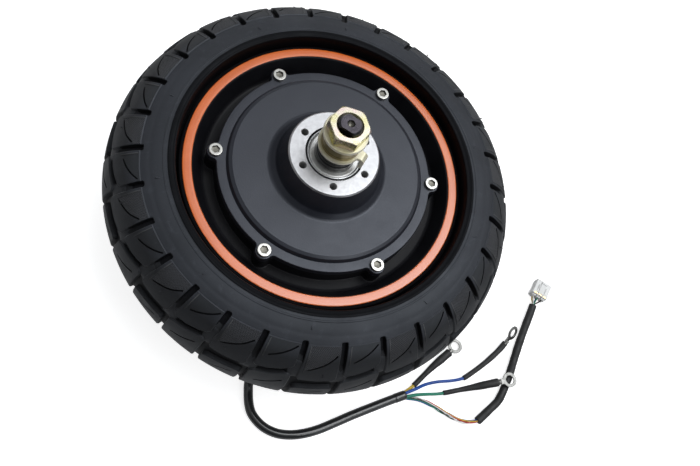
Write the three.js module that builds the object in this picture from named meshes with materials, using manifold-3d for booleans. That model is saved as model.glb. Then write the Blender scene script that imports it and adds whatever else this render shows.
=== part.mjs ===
// Hub motor wheel: a pneumatic tyre on a cast rim whose centre is the rotor shell of a
// gearless motor, turning on two ball bearings around a fixed threaded axle.
// Millimetres and degrees. +Z runs along the axle from the cable side to the brake-disc side.
// The origin is the centre of the flat end face of the axle on the cable side.
// Heights are from the tyre's mid-plane unless a comment says otherwise.
import * as THREE from 'three';
import { mergeVertices } from 'three/addons/utils/BufferGeometryUtils.js';
import Module from 'manifold-3d';

const wasm = await Module();
wasm.setup();

// ---- driving dimensions ---------------------------------------------------------------
const MID = 75;                 // height of the tyre's mid-plane above the origin
const SEG = 30;                 // facets round the large turned parts
const SEG_HUB = 16;             // facets round the hub parts

const BEAD_R = 82.55;           // rim bead seat (6.5 inch rim)
const LIP_R = 91.2;             // rim flange
const LIP_Z = 30.5;             // rim flange face
const DRUM_R = 68.6;            // rotor drum, outside
const DRUM_BORE = 65;           // rotor drum bore radius
const DRUM_Z = 29;              // drum end face
const DISH_Z = 19;              // dish floor between drum and barrel
const WELL_R = 78;              // rim well

const SCREW_PCR = 69.36;        // cover screw circle radius
const SCREW_PHASE = 50;         // angle of the first cover screw
const SCREW_COUNT = 6;
const LOBE_R = 5.4;             // lobe round each cover screw
const LEDGE_Z = 33.8;           // cover ledge
const PLATE_Z = 37;             // cover plate

const CLEARANCE = 0.02;         // gap between stacked hub parts
const DISC_Z = 55.1;            // brake-disc flange face
const BRG_R = 17.4, BRG_BORE = 7.5, BRG_W = 11;   // 15 x 35 x 11 bearing
const BRG_FACE_CABLE = -46;     // outward face of the cable-side bearing
const BRG_BRAKE = DISC_Z - BRG_W / 2;             // bearing centres
const BRG_CABLE = BRG_FACE_CABLE + BRG_W / 2;
const SHOULDER_BRAKE = DISC_Z - BRG_W - CLEARANCE;   // axle shoulders inside the bearings
const SHOULDER_CABLE = BRG_FACE_CABLE + BRG_W + CLEARANCE;

const AXLE_R = 7;               // M14 thread
const AXLE_TOP = 92.9;          // brake-side axle end
const AXLE_BOTTOM = -MID;       // cable-side axle end
const SHAFT_R = 9.5;            // axle between the shoulders
const FLAT_D = 5;               // each axle flat from the axis (10 mm across flats)
const FLAT_ANGLE = 54;          // direction of the flats' normals

// outward faces of the parts stacked on the axle
const BRAKE_STACK = { spacer: 67.2, tabWasher: 69.7, collar: 79.9, washer: 82.3, nut: 90.9 };
const CABLE_STACK = { spacer: -59, tabWasher: -61.5, nut: -72.5 };

const EXIT_Z = -52.5;           // cable exit hole
const EXIT_ANGLE = -111.4;      // direction the cable leaves the axle

// ---- points and profiles ----------------------------------------------------------------
const rad = (deg) => (deg * Math.PI) / 180;
const at = (r, deg, z = 0) => [r * Math.cos(rad(deg)), r * Math.sin(rad(deg)), z];

// count points evenly spaced round a circle
const ring = (r, count, phase = 0, z = 0) =>
  Array.from({ length: count }, (_, i) => at(r, phase + (360 * i) / count, z));

// steps + 1 points along an arc, both ends included
const arc = (r, from, to, steps) =>
  Array.from({ length: steps + 1 }, (_, i) => at(r, from + ((to - from) * i) / steps));

// mirrors a (radius, height) profile to the cable side, keeping its sense
const mirrored = (profile) => profile.map(([r, z]) => [r, -z]).reverse();
const lifted = (profile, rise) => profile.map(([r, z]) => [r, z + rise]);

// ---- solids -----------------------------------------------------------------------------
function solid(geometry) {
  for (const name of Object.keys(geometry.attributes)) {
    if (name !== 'position') geometry.deleteAttribute(name);
  }
  const merged = mergeVertices(geometry, 1e-4);
  const vertProperties = new Float32Array(merged.attributes.position.array);
  const triVerts = new Uint32Array(merged.index.array);
  const build = () => new wasm.Manifold(new wasm.Mesh({ numProp: 3, vertProperties, triVerts }));
  const result = build();
  if (result.volume() >= 0) return result;
  // inside out: turn every triangle over
  for (let i = 0; i < triVerts.length; i += 3) {
    [triVerts[i + 1], triVerts[i + 2]] = [triVerts[i + 2], triVerts[i + 1]];
  }
  return build();
}

function geometryOf(part) {
  const mesh = part.getMesh();
  const positions = new Float32Array(mesh.vertProperties);
  const geometry = new THREE.BufferGeometry();
  geometry.setAttribute('position', new THREE.BufferAttribute(positions, 3));
  geometry.setIndex(new THREE.BufferAttribute(new Uint32Array(mesh.triVerts), 1));
  return geometry;
}

const moved = (part, matrix) => solid(geometryOf(part).applyMatrix4(matrix));
const joined = (parts) => parts.reduce((a, b) => a.add(b));
const cut = (part, tools) => part.subtract(joined(tools));

// a (radius, height) profile turned about Z; it is closed unless both ends lie on the axis
function turned(profile, seg = SEG, phase = 0) {
  const points = profile.map(([r, z]) => new THREE.Vector2(r, z));
  if (profile[0][0] !== 0 || profile.at(-1)[0] !== 0) points.push(points[0].clone());
  const geometry = new THREE.LatheGeometry(points, seg);
  geometry.rotateX(Math.PI / 2);
  geometry.rotateZ(rad(phase));
  return solid(geometry);
}

const tube = (r0, r1, z0, z1, seg = SEG) =>
  turned([[r0, z0], [r1, z0], [r1, z1], [r0, z1]], seg);

const flatShape = (outline) => new THREE.Shape(outline.map(([x, y]) => new THREE.Vector2(x, y)));

// a plane outline, with holes, raised from z0 to z1
function raised(outline, z0, z1, holes = []) {
  const shape = flatShape(outline);
  shape.holes.push(...holes.map(flatShape));
  const options = { depth: z1 - z0, bevelEnabled: false, curveSegments: 4 };
  const geometry = new THREE.ExtrudeGeometry(shape, options);
  geometry.translate(0, 0, z0);
  return solid(geometry);
}

// an upright cylinder
function rod(r, z0, z1, seg = 12, x = 0, y = 0) {
  const geometry = new THREE.CylinderGeometry(r, r, z1 - z0, seg);
  geometry.rotateX(Math.PI / 2);
  geometry.translate(x, y, (z0 + z1) / 2);
  return solid(geometry);
}
const rodsAt = (places, r, z0, z1, seg) => places.map(([x, y]) => rod(r, z0, z1, seg, x, y));

// a box centred at (x, 0, z), then swung about Z
function block(size, x, z, deg = 0) {
  const geometry = new THREE.BoxGeometry(...size);
  geometry.translate(x, 0, z);
  geometry.rotateZ(rad(deg));
  return solid(geometry);
}

// a round bar between two points, of radius r at the start and endR at the end
function bar(from, to, r, seg = 12, endR = r) {
  const start = new THREE.Vector3(...from);
  const end = new THREE.Vector3(...to);
  const geometry = new THREE.CylinderGeometry(endR, r, start.distanceTo(end), seg);
  const direction = end.clone().sub(start).normalize();
  const turn = new THREE.Quaternion().setFromUnitVectors(new THREE.Vector3(0, 1, 0), direction);
  geometry.applyQuaternion(turn);
  const centre = start.add(end).multiplyScalar(0.5);
  geometry.translate(centre.x, centre.y, centre.z);
  return solid(geometry);
}

// a bar of constant oval section along a smooth path
function swept(points, { rx, ry = rx, steps, sides = 8 }) {
  const stations = points.map((point) => new THREE.Vector3(...point));
  const extrudePath = new THREE.CatmullRomCurve3(stations, false, 'centripetal');
  const outline = Array.from({ length: sides }, (_, i) => {
    const angle = (2 * Math.PI * (i + 0.5)) / sides;
    return [rx * Math.cos(angle), ry * Math.sin(angle)];
  });
  const options = { steps, extrudePath, bevelEnabled: false, curveSegments: 1 };
  return solid(new THREE.ExtrudeGeometry(flatShape(outline), options));
}

// ---- materials --------------------------------------------------------------------------
const material = (color, look) => new THREE.MeshStandardMaterial({ color, ...look });
const RUBBER = material(0x2b2c30, { roughness: 0.85, metalness: 0 });
const CASTING = material(0x1b1c1f, { roughness: 0.4, metalness: 0.3 });
const COVER = material(0x3a3b40, { roughness: 0.45, metalness: 0.3 });
const STRIPE = material(0xe08a4a, { roughness: 0.4, metalness: 0 });
const STAINLESS = material(0xd8d8d6, { roughness: 0.25, metalness: 1 });
const BLACK_STEEL = material(0x2a2a2c, { roughness: 0.4, metalness: 0.9 });
const ZINC = material(0xd9cfa0, { roughness: 0.3, metalness: 0.9 });
const BEARING = material(0xc9cbcd, { roughness: 0.2, metalness: 1 });
const COPPER = material(0xb4633a, { roughness: 0.35, metalness: 0.9 });
const CORE = material(0x6b6d70, { roughness: 0.5, metalness: 0.8 });
const MAGNET = material(0x9a9c9e, { roughness: 0.35, metalness: 0.9 });
const CAST_ALUMINIUM = material(0xb9bbbd, { roughness: 0.5, metalness: 0.8 });
const PCB = material(0x1f5a38, { roughness: 0.5, metalness: 0 });
const PVC = material(0x18181a, { roughness: 0.35, metalness: 0 });
const SHRINK = material(0x222325, { roughness: 0.6, metalness: 0 });
const YELLOW = material(0xd9b52a, { roughness: 0.45, metalness: 0 });
const BLUE = material(0x1c5cb0, { roughness: 0.45, metalness: 0 });
const GREEN = material(0x149078, { roughness: 0.45, metalness: 0 });
const TINNED = material(0xcfcfca, { roughness: 0.3, metalness: 1 });
const NYLON = material(0xeceae4, { roughness: 0.5, metalness: 0 });

// ---- groups: what turns, and what stays with the axle -----------------------------------
function midPlaneGroup() {
  const group = new THREE.Group();
  group.position.z = MID;
  return group;
}
const wheel = midPlaneGroup();
const axleSide = midPlaneGroup();

function piece(group, name, part, look) {
  const mesh = new THREE.Mesh(geometryOf(part), look);
  mesh.name = name;
  group.add(mesh);
}
const onWheel = (name, part, look) => piece(wheel, name, part, look);
const onAxle = (name, part, look) => piece(axleSide, name, part, look);

// ---- tyre -------------------------------------------------------------------------------
const TYRE_R = 135;
const TREAD_PITCHES = 30;       // shoulder lugs round each side, and facets round the tyre
const TREAD_PHASE = 4.6;        // angle of the first slot
const TREAD_SKEW = -3;          // the cable side's slots are turned by this much
const SLOT_W = 4.6;             // slot between two shoulder lugs
const FACET_LEAD = 3;           // from a slot's centre on to the next facet corner
const LATHE_START = 90;         // turns the first corner of a turned part from -Y to +X

// (radius, height) of the brake-side half of a C-shaped section, open towards the rim
const tyreHalf = [
  [133.7, 11], [127, 24], [113.5, 34.6], [97.4, 39], [92.7, 36], [92.2, 26.6],   // outside
  [84.8, 24.2], [83.4, 16.2],                                                    // bead
  [97, 30.5], [111, 30], [122, 18],                                              // inside
];
const tyreProfile = [[TYRE_R, 0], ...tyreHalf, [126.5, 0], ...mirrored(tyreHalf)];

// (radius, height) of the triangular cutter for a brake-side slot
const slotSection = [[131.4, 6.5], [150, 41], [114.4, 40.2]];

function treadSlot(deg, side) {
  const options = { depth: SLOT_W, bevelEnabled: false };
  const geometry = new THREE.ExtrudeGeometry(flatShape(slotSection), options);
  geometry.translate(0, 0, -SLOT_W / 2);
  geometry.rotateX(Math.PI / 2);
  geometry.scale(1, 1, side);
  geometry.rotateZ(rad(deg));
  return solid(geometry);
}
const treadSlots = [];
for (let i = 0; i < TREAD_PITCHES; i++) {
  const angle = TREAD_PHASE + (i * 360) / TREAD_PITCHES;
  treadSlots.push(treadSlot(angle, 1), treadSlot(angle + TREAD_SKEW, -1));
}
const tyreBody = turned(tyreProfile, TREAD_PITCHES, TREAD_PHASE + FACET_LEAD + LATHE_START);
onWheel('tyre', cut(tyreBody, treadSlots), RUBBER);

// ---- rim with the rotor drum ------------------------------------------------------------
const THREAD_HOLE_R = 2.8, THREAD_HOLE_DEPTH = 9.5;
const VALVE_ANGLE = 80;
const screwPlaces = ring(SCREW_PCR, SCREW_COUNT, SCREW_PHASE);
const lobes = (z0, z1) => rodsAt(screwPlaces, LOBE_R, z0, z1, 9);
const screwHoles = (r, z0, z1) => rodsAt(screwPlaces, r, z0, z1, 7);

// (radius, height) of the brake-side half
const rimHalf = [
  [WELL_R, 11], [BEAD_R, 15.2], [BEAD_R, 24.2], [90, 26], [LIP_R, 28], [90.2, LIP_Z],
  [82.4, LIP_Z], [76, DISH_Z], [DRUM_R, DISH_Z], [DRUM_R, DRUM_Z], [DRUM_BORE, DRUM_Z],
];
const boreTrim = rod(DRUM_BORE - 0.01, -40, 40, SEG);   // keeps the lobes out of the bore
const rimLobes = [...lobes(DISH_Z - 1, DRUM_Z), ...lobes(-DRUM_Z, -DISH_Z + 1)];
const rimBody = joined([
  turned([...rimHalf, ...mirrored(rimHalf)]),
  ...rimLobes.map((lobe) => lobe.subtract(boreTrim)),
]);
// the valve's hole runs from the dish on the cable side, slanting outward into the well
const valveHole = bar(at(72.2, VALVE_ANGLE, -40.2), at(81.3, VALVE_ANGLE, 0), 4.15, 10);
onWheel('rim', cut(rimBody, [
  ...screwHoles(THREAD_HOLE_R, DRUM_Z - THREAD_HOLE_DEPTH, DRUM_Z + 1),
  ...screwHoles(THREAD_HOLE_R, -DRUM_Z - 1, -DRUM_Z + THREAD_HOLE_DEPTH),
  valveHole,
]), CASTING);

// painted stripe rings on the two flange faces
const STRIPE_R0 = 82.9, STRIPE_R1 = 88.5, STRIPE_T = 0.5;
onWheel('stripe_ring_brake', tube(STRIPE_R0, STRIPE_R1, LIP_Z, LIP_Z + STRIPE_T), STRIPE);
onWheel('stripe_ring_cable', tube(STRIPE_R0, STRIPE_R1, -LIP_Z - STRIPE_T, -LIP_Z), STRIPE);

// ---- valve ------------------------------------------------------------------------------
const valveOuter = at(73.6, VALVE_ANGLE, -34);
const valveInner = at(79.7, VALVE_ANGLE, -7);
// a point at a fraction of the way up the valve
const alongValve = (t) => valveOuter.map((v, i) => v + (valveInner[i] - v) * t);
onWheel('valve_stem', joined([
  bar(alongValve(0.12), alongValve(0.9), 3.2),
  bar(alongValve(0.78), alongValve(0.98), 3.75),
]), BLACK_STEEL);
onWheel('valve_cap', bar(alongValve(-0.1), alongValve(0.11), 3.7, 12, 3.6), SHRINK);

// ---- flux ring and magnets --------------------------------------------------------------
const POLES = 30;
const POLE_PITCH = 360 / POLES;
const MAGNET_R = 58.3;          // magnet faces
const MAGNET_HALF = 4.9;        // half the angle of a magnet's face
const MAGNET_GAP_R = 60.2;      // floor of the grooves between magnets
const MAGNET_FOOT = MAGNET_HALF + 0.3;            // half the angle at the groove floor

onWheel('flux_ring', tube(61.2, DRUM_BORE - 0.03, -15, 15), CORE);

const magnetBore = [];
for (let i = 0; i < POLES; i++) {
  const angle = POLE_PITCH * i;
  magnetBore.push(
    at(MAGNET_R, angle - MAGNET_HALF),
    at(MAGNET_R, angle + MAGNET_HALF),
    at(MAGNET_GAP_R, angle + MAGNET_FOOT),
    at(MAGNET_GAP_R, angle + POLE_PITCH - MAGNET_FOOT),
  );
}
onWheel('magnet_ring', raised(ring(60.8, SEG), -14, 14, [magnetBore]), MAGNET);

// ---- covers -----------------------------------------------------------------------------
const SEAT_R = 17.5;            // bearing seat
const COVER_BORE = 15.6;        // bore radius behind the bearing
const SPIGOT_R = DRUM_BORE - 0.1;
const COVER_HOLE_R = 2.85;
const DISC_HOLE_R = 2.1;        // six M5 holes on a 44 mm circle
const discHolePlaces = ring(22, 6, 20.4);

// (radius, height) profiles; the outer part is common to both covers
const coverEdge = [
  [59.3, PLATE_Z], [61.4, 36.1], [62.7, LEDGE_Z], [DRUM_R, LEDGE_Z], [DRUM_R, DRUM_Z],
  [SPIGOT_R, DRUM_Z], [SPIGOT_R, 27.2], [60.5, 27.2], [58.5, 32.2],
];
const coverBrake = [
  [SEAT_R, DISC_Z - 0.9], [18.35, DISC_Z], [27.9, DISC_Z], [28.3, 54.6], [33.2, 40],
  [37, PLATE_Z], ...coverEdge, [29.5, 32.2], [23.5, 41.6], [COVER_BORE, 41.6],
  [COVER_BORE, SHOULDER_BRAKE], [SEAT_R, SHOULDER_BRAKE],
];
const coverCable = mirrored([
  [SEAT_R, 45.2], [18.2, 45.9], [26, 45.9], [27, 45], [32.5, 38.6], [36, PLATE_Z],
  ...coverEdge, [COVER_BORE, 32.2], [COVER_BORE, -SHOULDER_CABLE], [SEAT_R, -SHOULDER_CABLE],
]);
onWheel('cover_brake', cut(joined([turned(coverBrake), ...lobes(DRUM_Z, LEDGE_Z)]), [
  ...screwHoles(COVER_HOLE_R, 26, 40),
  ...rodsAt(discHolePlaces, DISC_HOLE_R, DISC_Z - 9.5, DISC_Z + 1, 8),
]), COVER);
onWheel('cover_cable', cut(
  joined([turned(coverCable), ...lobes(-LEDGE_Z, -DRUM_Z)]),
  screwHoles(COVER_HOLE_R, -40, -26),
), COVER);

// cover screws: low cylinder heads with a hexagon socket
const HEAD_R = 4.2, HEAD_Z = 35.95;
const SHANK_R = 2.45, SHANK_LENGTH = 13;
const SOCKET_R = 1.75, SOCKET_DEPTH = 1.6;
const coverScrew = joined([
  rod(HEAD_R, LEDGE_Z, HEAD_Z, 10),
  rod(SHANK_R, LEDGE_Z - SHANK_LENGTH, LEDGE_Z + 0.5, 6),
]).subtract(rod(SOCKET_R, HEAD_Z - SOCKET_DEPTH, HEAD_Z + 1, 6));
for (const [side, flip] of [['brake', 0], ['cable', Math.PI]]) {
  screwPlaces.forEach(([x, y], i) => {
    const placement = new THREE.Matrix4().makeRotationX(flip).setPosition(x, y, 0);
    onWheel(`cover_screw_${side}_${i + 1}`, moved(coverScrew, placement), STAINLESS);
  });
}

// ---- bearings ---------------------------------------------------------------------------
const BALL_R = 2.95, BALLS = 8, BALL_PCR = 12.5;
const BRG_HALF = BRG_W / 2;
const RING_BORE = BRG_BORE + 0.04;                // bore of the parts fitted on the axle

// (radius, height from the bearing's centre); the outer ring is stepped at its outward face
const outerRing = [
  [BRG_R, -BRG_HALF], [BRG_R, BRG_HALF], [16, BRG_HALF], [16, 4.2], [15.8, 4.2],
  [15.8, -BRG_HALF],
];
const innerRing = [
  [RING_BORE, -BRG_HALF], [RING_BORE, BRG_HALF], [9.35, BRG_HALF], [9.35, -BRG_HALF],
];
const raceway = (profile, z) => turned(lifted(profile, z), SEG_HUB);
onWheel('bearing_outer_brake', raceway(outerRing, BRG_BRAKE), BEARING);
onWheel('bearing_outer_cable', raceway(mirrored(outerRing), BRG_CABLE), BEARING);
const shield = tube(10.9, 15.7, BRG_BRAKE + 4.25, BRG_BRAKE + 4.8, SEG_HUB);
onWheel('bearing_shield_brake', shield, STAINLESS);
onAxle('bearing_inner_brake', raceway(innerRing, BRG_BRAKE), BEARING);
onAxle('bearing_inner_cable', raceway(innerRing, BRG_CABLE), BEARING);

// one bearing's balls, joined by a ring through them, in a group of their own
function ballGroup(name, z) {
  const balls = ring(BALL_PCR, BALLS, 0, z).map((centre) => {
    const geometry = new THREE.SphereGeometry(BALL_R, 6, 4);
    geometry.translate(...centre);
    return solid(geometry);
  });
  const group = midPlaneGroup();
  piece(group, name, joined([tube(12.1, 13.3, z - 1, z + 1, BALLS), ...balls]), BEARING);
  return group;
}
const ballGroups = [ballGroup('balls_brake', BRG_BRAKE), ballGroup('balls_cable', BRG_CABLE)];

// ---- axle -------------------------------------------------------------------------------
const ENTRY_Z = -30.5;          // wires enter from the motor
const FLAT_CUTTER = 6;          // thickness of the block that cuts a flat

// (radius, height), ending in a centre hole on the brake side
const axleProfile = [
  [0, AXLE_BOTTOM], [6, AXLE_BOTTOM], [AXLE_R, AXLE_BOTTOM + 1], [AXLE_R, -58.9],
  [BRG_BORE, -58.6], [BRG_BORE, SHOULDER_CABLE], [SHAFT_R, SHOULDER_CABLE],
  [SHAFT_R, SHOULDER_BRAKE], [BRG_BORE, SHOULDER_BRAKE], [BRG_BORE, 66.9], [AXLE_R, 67.1],
  [AXLE_R, AXLE_TOP - 1], [6, AXLE_TOP], [2.1, AXLE_TOP], [0, AXLE_TOP - 3.6],
];
const flats = (z0, z1) => [1, -1].map((side) => block(
  [FLAT_CUTTER, 20, z1 - z0], side * (FLAT_D + FLAT_CUTTER / 2), (z0 + z1) / 2, FLAT_ANGLE));
onAxle('axle', cut(turned(axleProfile, SEG_HUB), [
  ...flats(67.15, AXLE_TOP + 1),
  ...flats(AXLE_BOTTOM - 1, -58.95),
  rod(4, -56, -28),                                     // wire channel
  bar([0, 0, EXIT_Z], at(12, EXIT_ANGLE, EXIT_Z), 3.7),
  bar([0, 0, ENTRY_Z], at(12, EXIT_ANGLE, ENTRY_Z), 3.2),
]), BLACK_STEEL);

// ---- stator -----------------------------------------------------------------------------
const SLOTS = 27;               // teeth, each with its coil
const GAP_R = 57.5;             // tooth faces
const TOOTH_R0 = 40, TOOTH_R1 = 55.3;             // straight part of a tooth
const TOOTH_HALF = 2.4;         // half its width
const SHOE_HALF = 5.4;          // half the angle of a tooth's face
const toothAngle = (index) => (index * 360) / SLOTS;

// support: a disc with five windows, its bore flats clearing the axle's
const supportBore = ring(9.55 / Math.cos(Math.PI / SEG_HUB), SEG_HUB, 90);
const windows = [0, 72, 144, 216, 288].map((angle) => [
  ...arc(29, angle + 8, angle + 64, 3),
  ...arc(17, angle + 60, angle + 12, 2),
]);
const support = raised(ring(32.9, SEG), -12, 12, [supportBore, ...windows]);
onAxle('stator_support', support, CAST_ALUMINIUM);

const coreOutline = [];
for (let i = 0; i < SLOTS; i++) {
  const angle = toothAngle(i);
  const flank = (r, side) => at(r, angle + (side * Math.asin(TOOTH_HALF / r) * 180) / Math.PI);
  coreOutline.push(
    flank(TOOTH_R0, -1), flank(TOOTH_R1, -1),
    at(GAP_R, angle - SHOE_HALF), at(GAP_R, angle + SHOE_HALF),
    flank(TOOTH_R1, 1), flank(TOOTH_R0, 1),
  );
}
onAxle('stator_core', raised(coreOutline, -13.5, 13.5, [ring(33.1, SEG)]), CORE);

// 27 coils in three phases, three neighbouring teeth at a time; each phase's coils are joined
// by one connection ring over the end turns
const COIL_R = 48;              // middle of a coil
const coil = (angle) => block([13, 8.2, 33], COIL_R, 0, angle)
  .subtract(block([20, 5.3, 27.5], COIL_R, 0, angle));
[['a', 42.6], ['b', 46.6], ['c', 50.6]].forEach(([phase, ringR], phaseIndex) => {
  const parts = [tube(ringR - 0.9, ringR + 0.9, 16.7, 18.3, 18)];
  for (let set = 0; set < 3; set++) {
    for (let k = 0; k < 3; k++) {
      const angle = toothAngle(set * 9 + phaseIndex * 3 + k);
      parts.push(coil(angle), block([1.4, 3, 1.6], ringR, 16.6, angle));
    }
  }
  onAxle(`winding_phase_${phase}`, joined(parts), COPPER);
});

// a ring sector with three small blocks on its face towards the core
onAxle('hall_board', joined([
  raised([...arc(57, 60, 120, 6), ...arc(44, 120, 60, 6)], -18.2, -16.6),
  ...[66.7, 93.4, 113.3].map((angle) => block([1.6, 4, 3], 55.9, -15.4, angle)),
]), PCB);

// ---- axle hardware ----------------------------------------------------------------------
// (radius, height)
const SPACER_BRAKE_Z = DISC_Z + CLEARANCE;
const SPACER_CABLE_Z = BRG_FACE_CABLE - CLEARANCE;
const spacerBrake = [
  [RING_BORE, SPACER_BRAKE_Z], [10, SPACER_BRAKE_Z], [10, 55.7], [12, 55.7], [12, 59],
  [11.5, 59.5], [11.5, BRAKE_STACK.spacer], [RING_BORE, BRAKE_STACK.spacer],
];
const spacerCable = [
  [RING_BORE, CABLE_STACK.spacer], [12, CABLE_STACK.spacer], [12, -47], [10, -46.6],
  [10, SPACER_CABLE_Z], [RING_BORE, SPACER_CABLE_Z],
];
const exitPoint = (r, z = EXIT_Z) => at(r, EXIT_ANGLE, z);
onAxle('spacer_brake', turned(spacerBrake, SEG_HUB), BLACK_STEEL);
onAxle('spacer_cable', turned(spacerCable, SEG_HUB)
  .subtract(bar(exitPoint(3), exitPoint(16), 5.1)), BLACK_STEEL);

// washer whose bore follows the axle's flats, with one tab bent along the axle towards the
// wheel, which lies up (1) or down (-1) from it
const TAB_ANGLE = -36;          // direction of the tab
const TAB_LENGTH = 9.4;         // along the axle
function tabWasher(z0, z1, towards) {
  const thickness = z1 - z0;
  const middle = (z0 + z1) / 2;
  const tabMiddle = towards < 0 ? z1 - TAB_LENGTH / 2 : z0 + TAB_LENGTH / 2;
  const bore = rod(7.25, z0 - 1, z1 + 1, SEG_HUB)
    .intersect(block([10.5, 20, thickness + 4], 0, middle, FLAT_ANGLE));
  return joined([
    rod(13.7, z0, z1, SEG_HUB),
    block([4.6, 6, thickness], 15, middle, TAB_ANGLE),
    block([2.4, 6, TAB_LENGTH], 16.2, tabMiddle, TAB_ANGLE),
  ]).subtract(bore);
}
onAxle('tab_washer_brake',
  tabWasher(BRAKE_STACK.spacer + CLEARANCE, BRAKE_STACK.tabWasher, -1), ZINC);
onAxle('tab_washer_cable',
  tabWasher(CABLE_STACK.tabWasher, CABLE_STACK.spacer - CLEARANCE, 1), ZINC);

const washer = (r, z0, z1) => tube(7.3, r, z0, z1, SEG_HUB);
onAxle('spacer_collar_brake', washer(12.2, BRAKE_STACK.tabWasher, BRAKE_STACK.collar), ZINC);
onAxle('flat_washer_brake', washer(13.6, BRAKE_STACK.collar, BRAKE_STACK.washer), ZINC);

// hexagon nut, its corners turned down by a cone at both ends, its bore flared at the top
const NUT_AF = 22;              // M14 nut across flats
const NUT_PHASE = -18;          // angle of a nut corner
const NUT_CONE = 1.3;           // height of each cone
function nut(z0, z1) {
  const corner = NUT_AF / 2 / Math.cos(Math.PI / 6);
  const faceR = NUT_AF / 2 - 0.3;
  const coneR = corner + 1;
  const cones = turned([
    [0, z0], [faceR, z0], [coneR, z0 + NUT_CONE], [coneR, z1 - NUT_CONE], [faceR, z1], [0, z1],
  ], 12, NUT_PHASE);
  const bore = turned([
    [0, z0 - 1], [7.2, z0 - 1], [7.2, z1 - 0.8], [8.1, z1 + 0.1], [8.1, z1 + 1], [0, z1 + 1],
  ], SEG_HUB);
  return raised(ring(corner, 6, NUT_PHASE), z0, z1).intersect(cones).subtract(bore);
}
onAxle('axle_nut_brake', nut(BRAKE_STACK.washer, BRAKE_STACK.nut), ZINC);
onAxle('axle_nut_cable', nut(CABLE_STACK.nut, CABLE_STACK.tabWasher), ZINC);

// ---- cable and leads --------------------------------------------------------------------
// path points are (x, y, height above the origin) and are lowered to the mid-plane frame
const lowered = (points) => points.map(([x, y, z]) => [x, y, z - MID]);
const flexible = (name, look, section, points) =>
  onAxle(name, swept(lowered(points), section), look);

flexible('cable_jacket', PVC, { rx: 3.25, steps: 26, sides: 7 }, [
  exitPoint(2.6, MID + EXIT_Z), exitPoint(9, MID + EXIT_Z), exitPoint(18, 22.3),
  exitPoint(34, 20.6), exitPoint(60, 15.5), exitPoint(90, 8.6), exitPoint(110, 4.9),
  [-43.6, -114.1, 4.3], [-44.1, -119.3, 3.5], [-44.4, -126.1, 3.4], [-43.4, -132.9, 3.4],
  [-40.1, -138.9, 3.4], [-34.8, -144.4, 3.4], [-27, -148.7, 3.4], [-18.2, -150.6, 3.4],
  [-9.1, -150.7, 3.4], [1.7, -149.1, 3.4], [14.3, -145.6, 3.4], [27.1, -141.8, 3.4],
  [41, -138.1, 3.4], [55, -134.5, 3.4], [67.9, -131.4, 3.4],
]);
onAxle('cable_grommet', bar(exitPoint(9.3), exitPoint(14.4), 4.7)
  .subtract(bar(exitPoint(8), exitPoint(16), 3.6)), SHRINK);

const phaseLead = (steps) => ({ rx: 1.15, steps, sides: 6 });
flexible('phase_lead_yellow', YELLOW, phaseLead(4), [
  [69, -129.2, 2.9], [74.6, -126.3, 2.5], [77.6, -124.5, 2.4],
]);
flexible('phase_lead_blue', BLUE, phaseLead(12), [
  [69, -130.3, 5.5], [75.9, -128.4, 5], [85.9, -125.2, 2.4], [95.5, -124, 1.6],
  [105.9, -124.1, 1.6], [113.1, -123.7, 1.8], [117.6, -122.9, 2.3],
]);
flexible('phase_lead_green', GREEN, phaseLead(8), [
  [69, -132.7, 4.9], [76.6, -132.2, 4.3], [85.9, -132.3, 2.4], [94.5, -132.7, 1.8],
  [99.6, -132.6, 2.4],
]);

flexible('sleeve_yellow', SHRINK, { rx: 2.5, ry: 2.1, steps: 8 }, [
  [78, -124.2, 2.4], [85.9, -118.3, 2.5], [93.9, -112.6, 2.6], [102, -107.4, 2.8],
  [108.2, -103.5, 3],
]);
flexible('sleeve_blue', SHRINK, { rx: 2.15, ry: 1.9, steps: 10 }, [
  [118, -122.7, 2.4], [126, -118.8, 2.6], [134.2, -114.4, 2.8], [142.6, -109.3, 3.2],
  [150, -104, 4.2], [154.6, -100, 5.2],
]);
flexible('sleeve_green', SHRINK, { rx: 2.5, ry: 2.1, steps: 8 }, [
  [100, -132.5, 2.5], [110.4, -131.6, 3], [121.4, -130.8, 4.6], [132.1, -130, 7.2],
  [140.8, -129.3, 8.4],
]);

// ring terminal: a crimped barrel and a flat eye, whose upper face leans towards up
function terminal(name, barrelEnd, eyeCentre, up = [0, 0, 1]) {
  const [start, eye] = lowered([barrelEnd, eyeCentre]).map((p) => new THREE.Vector3(...p));
  const forward = eye.clone().sub(start).normalize();
  const side = new THREE.Vector3(...up).cross(forward).normalize();
  const normal = forward.clone().cross(side).normalize();
  const length = start.distanceTo(eye);
  const tongue = length - 3;
  const part = joined([
    rod(5.6, -0.5, 0.5, 16),
    block([tongue, 4.2, 1], -tongue / 2 - 2.1, 0),
    bar([-length, 0, 0.4], [-length + 2.6, 0, 0.4], 1.5, 8),
  ]).subtract(rod(3.2, -2, 2));
  const placement = new THREE.Matrix4().makeBasis(forward, side, normal).setPosition(eye);
  onAxle(name, moved(part, placement), TINNED);
}
terminal('terminal_yellow', [108.9, -103.1, 3.1], [114.3, -98.8, 2.6]);
terminal('terminal_blue', [155.1, -99.6, 5.4], [162, -93, 6.6], [0.455, -0.604, 0.65]);
terminal('terminal_green', [141.6, -129.2, 8.5], [151, -128.3, 8.2]);

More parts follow.
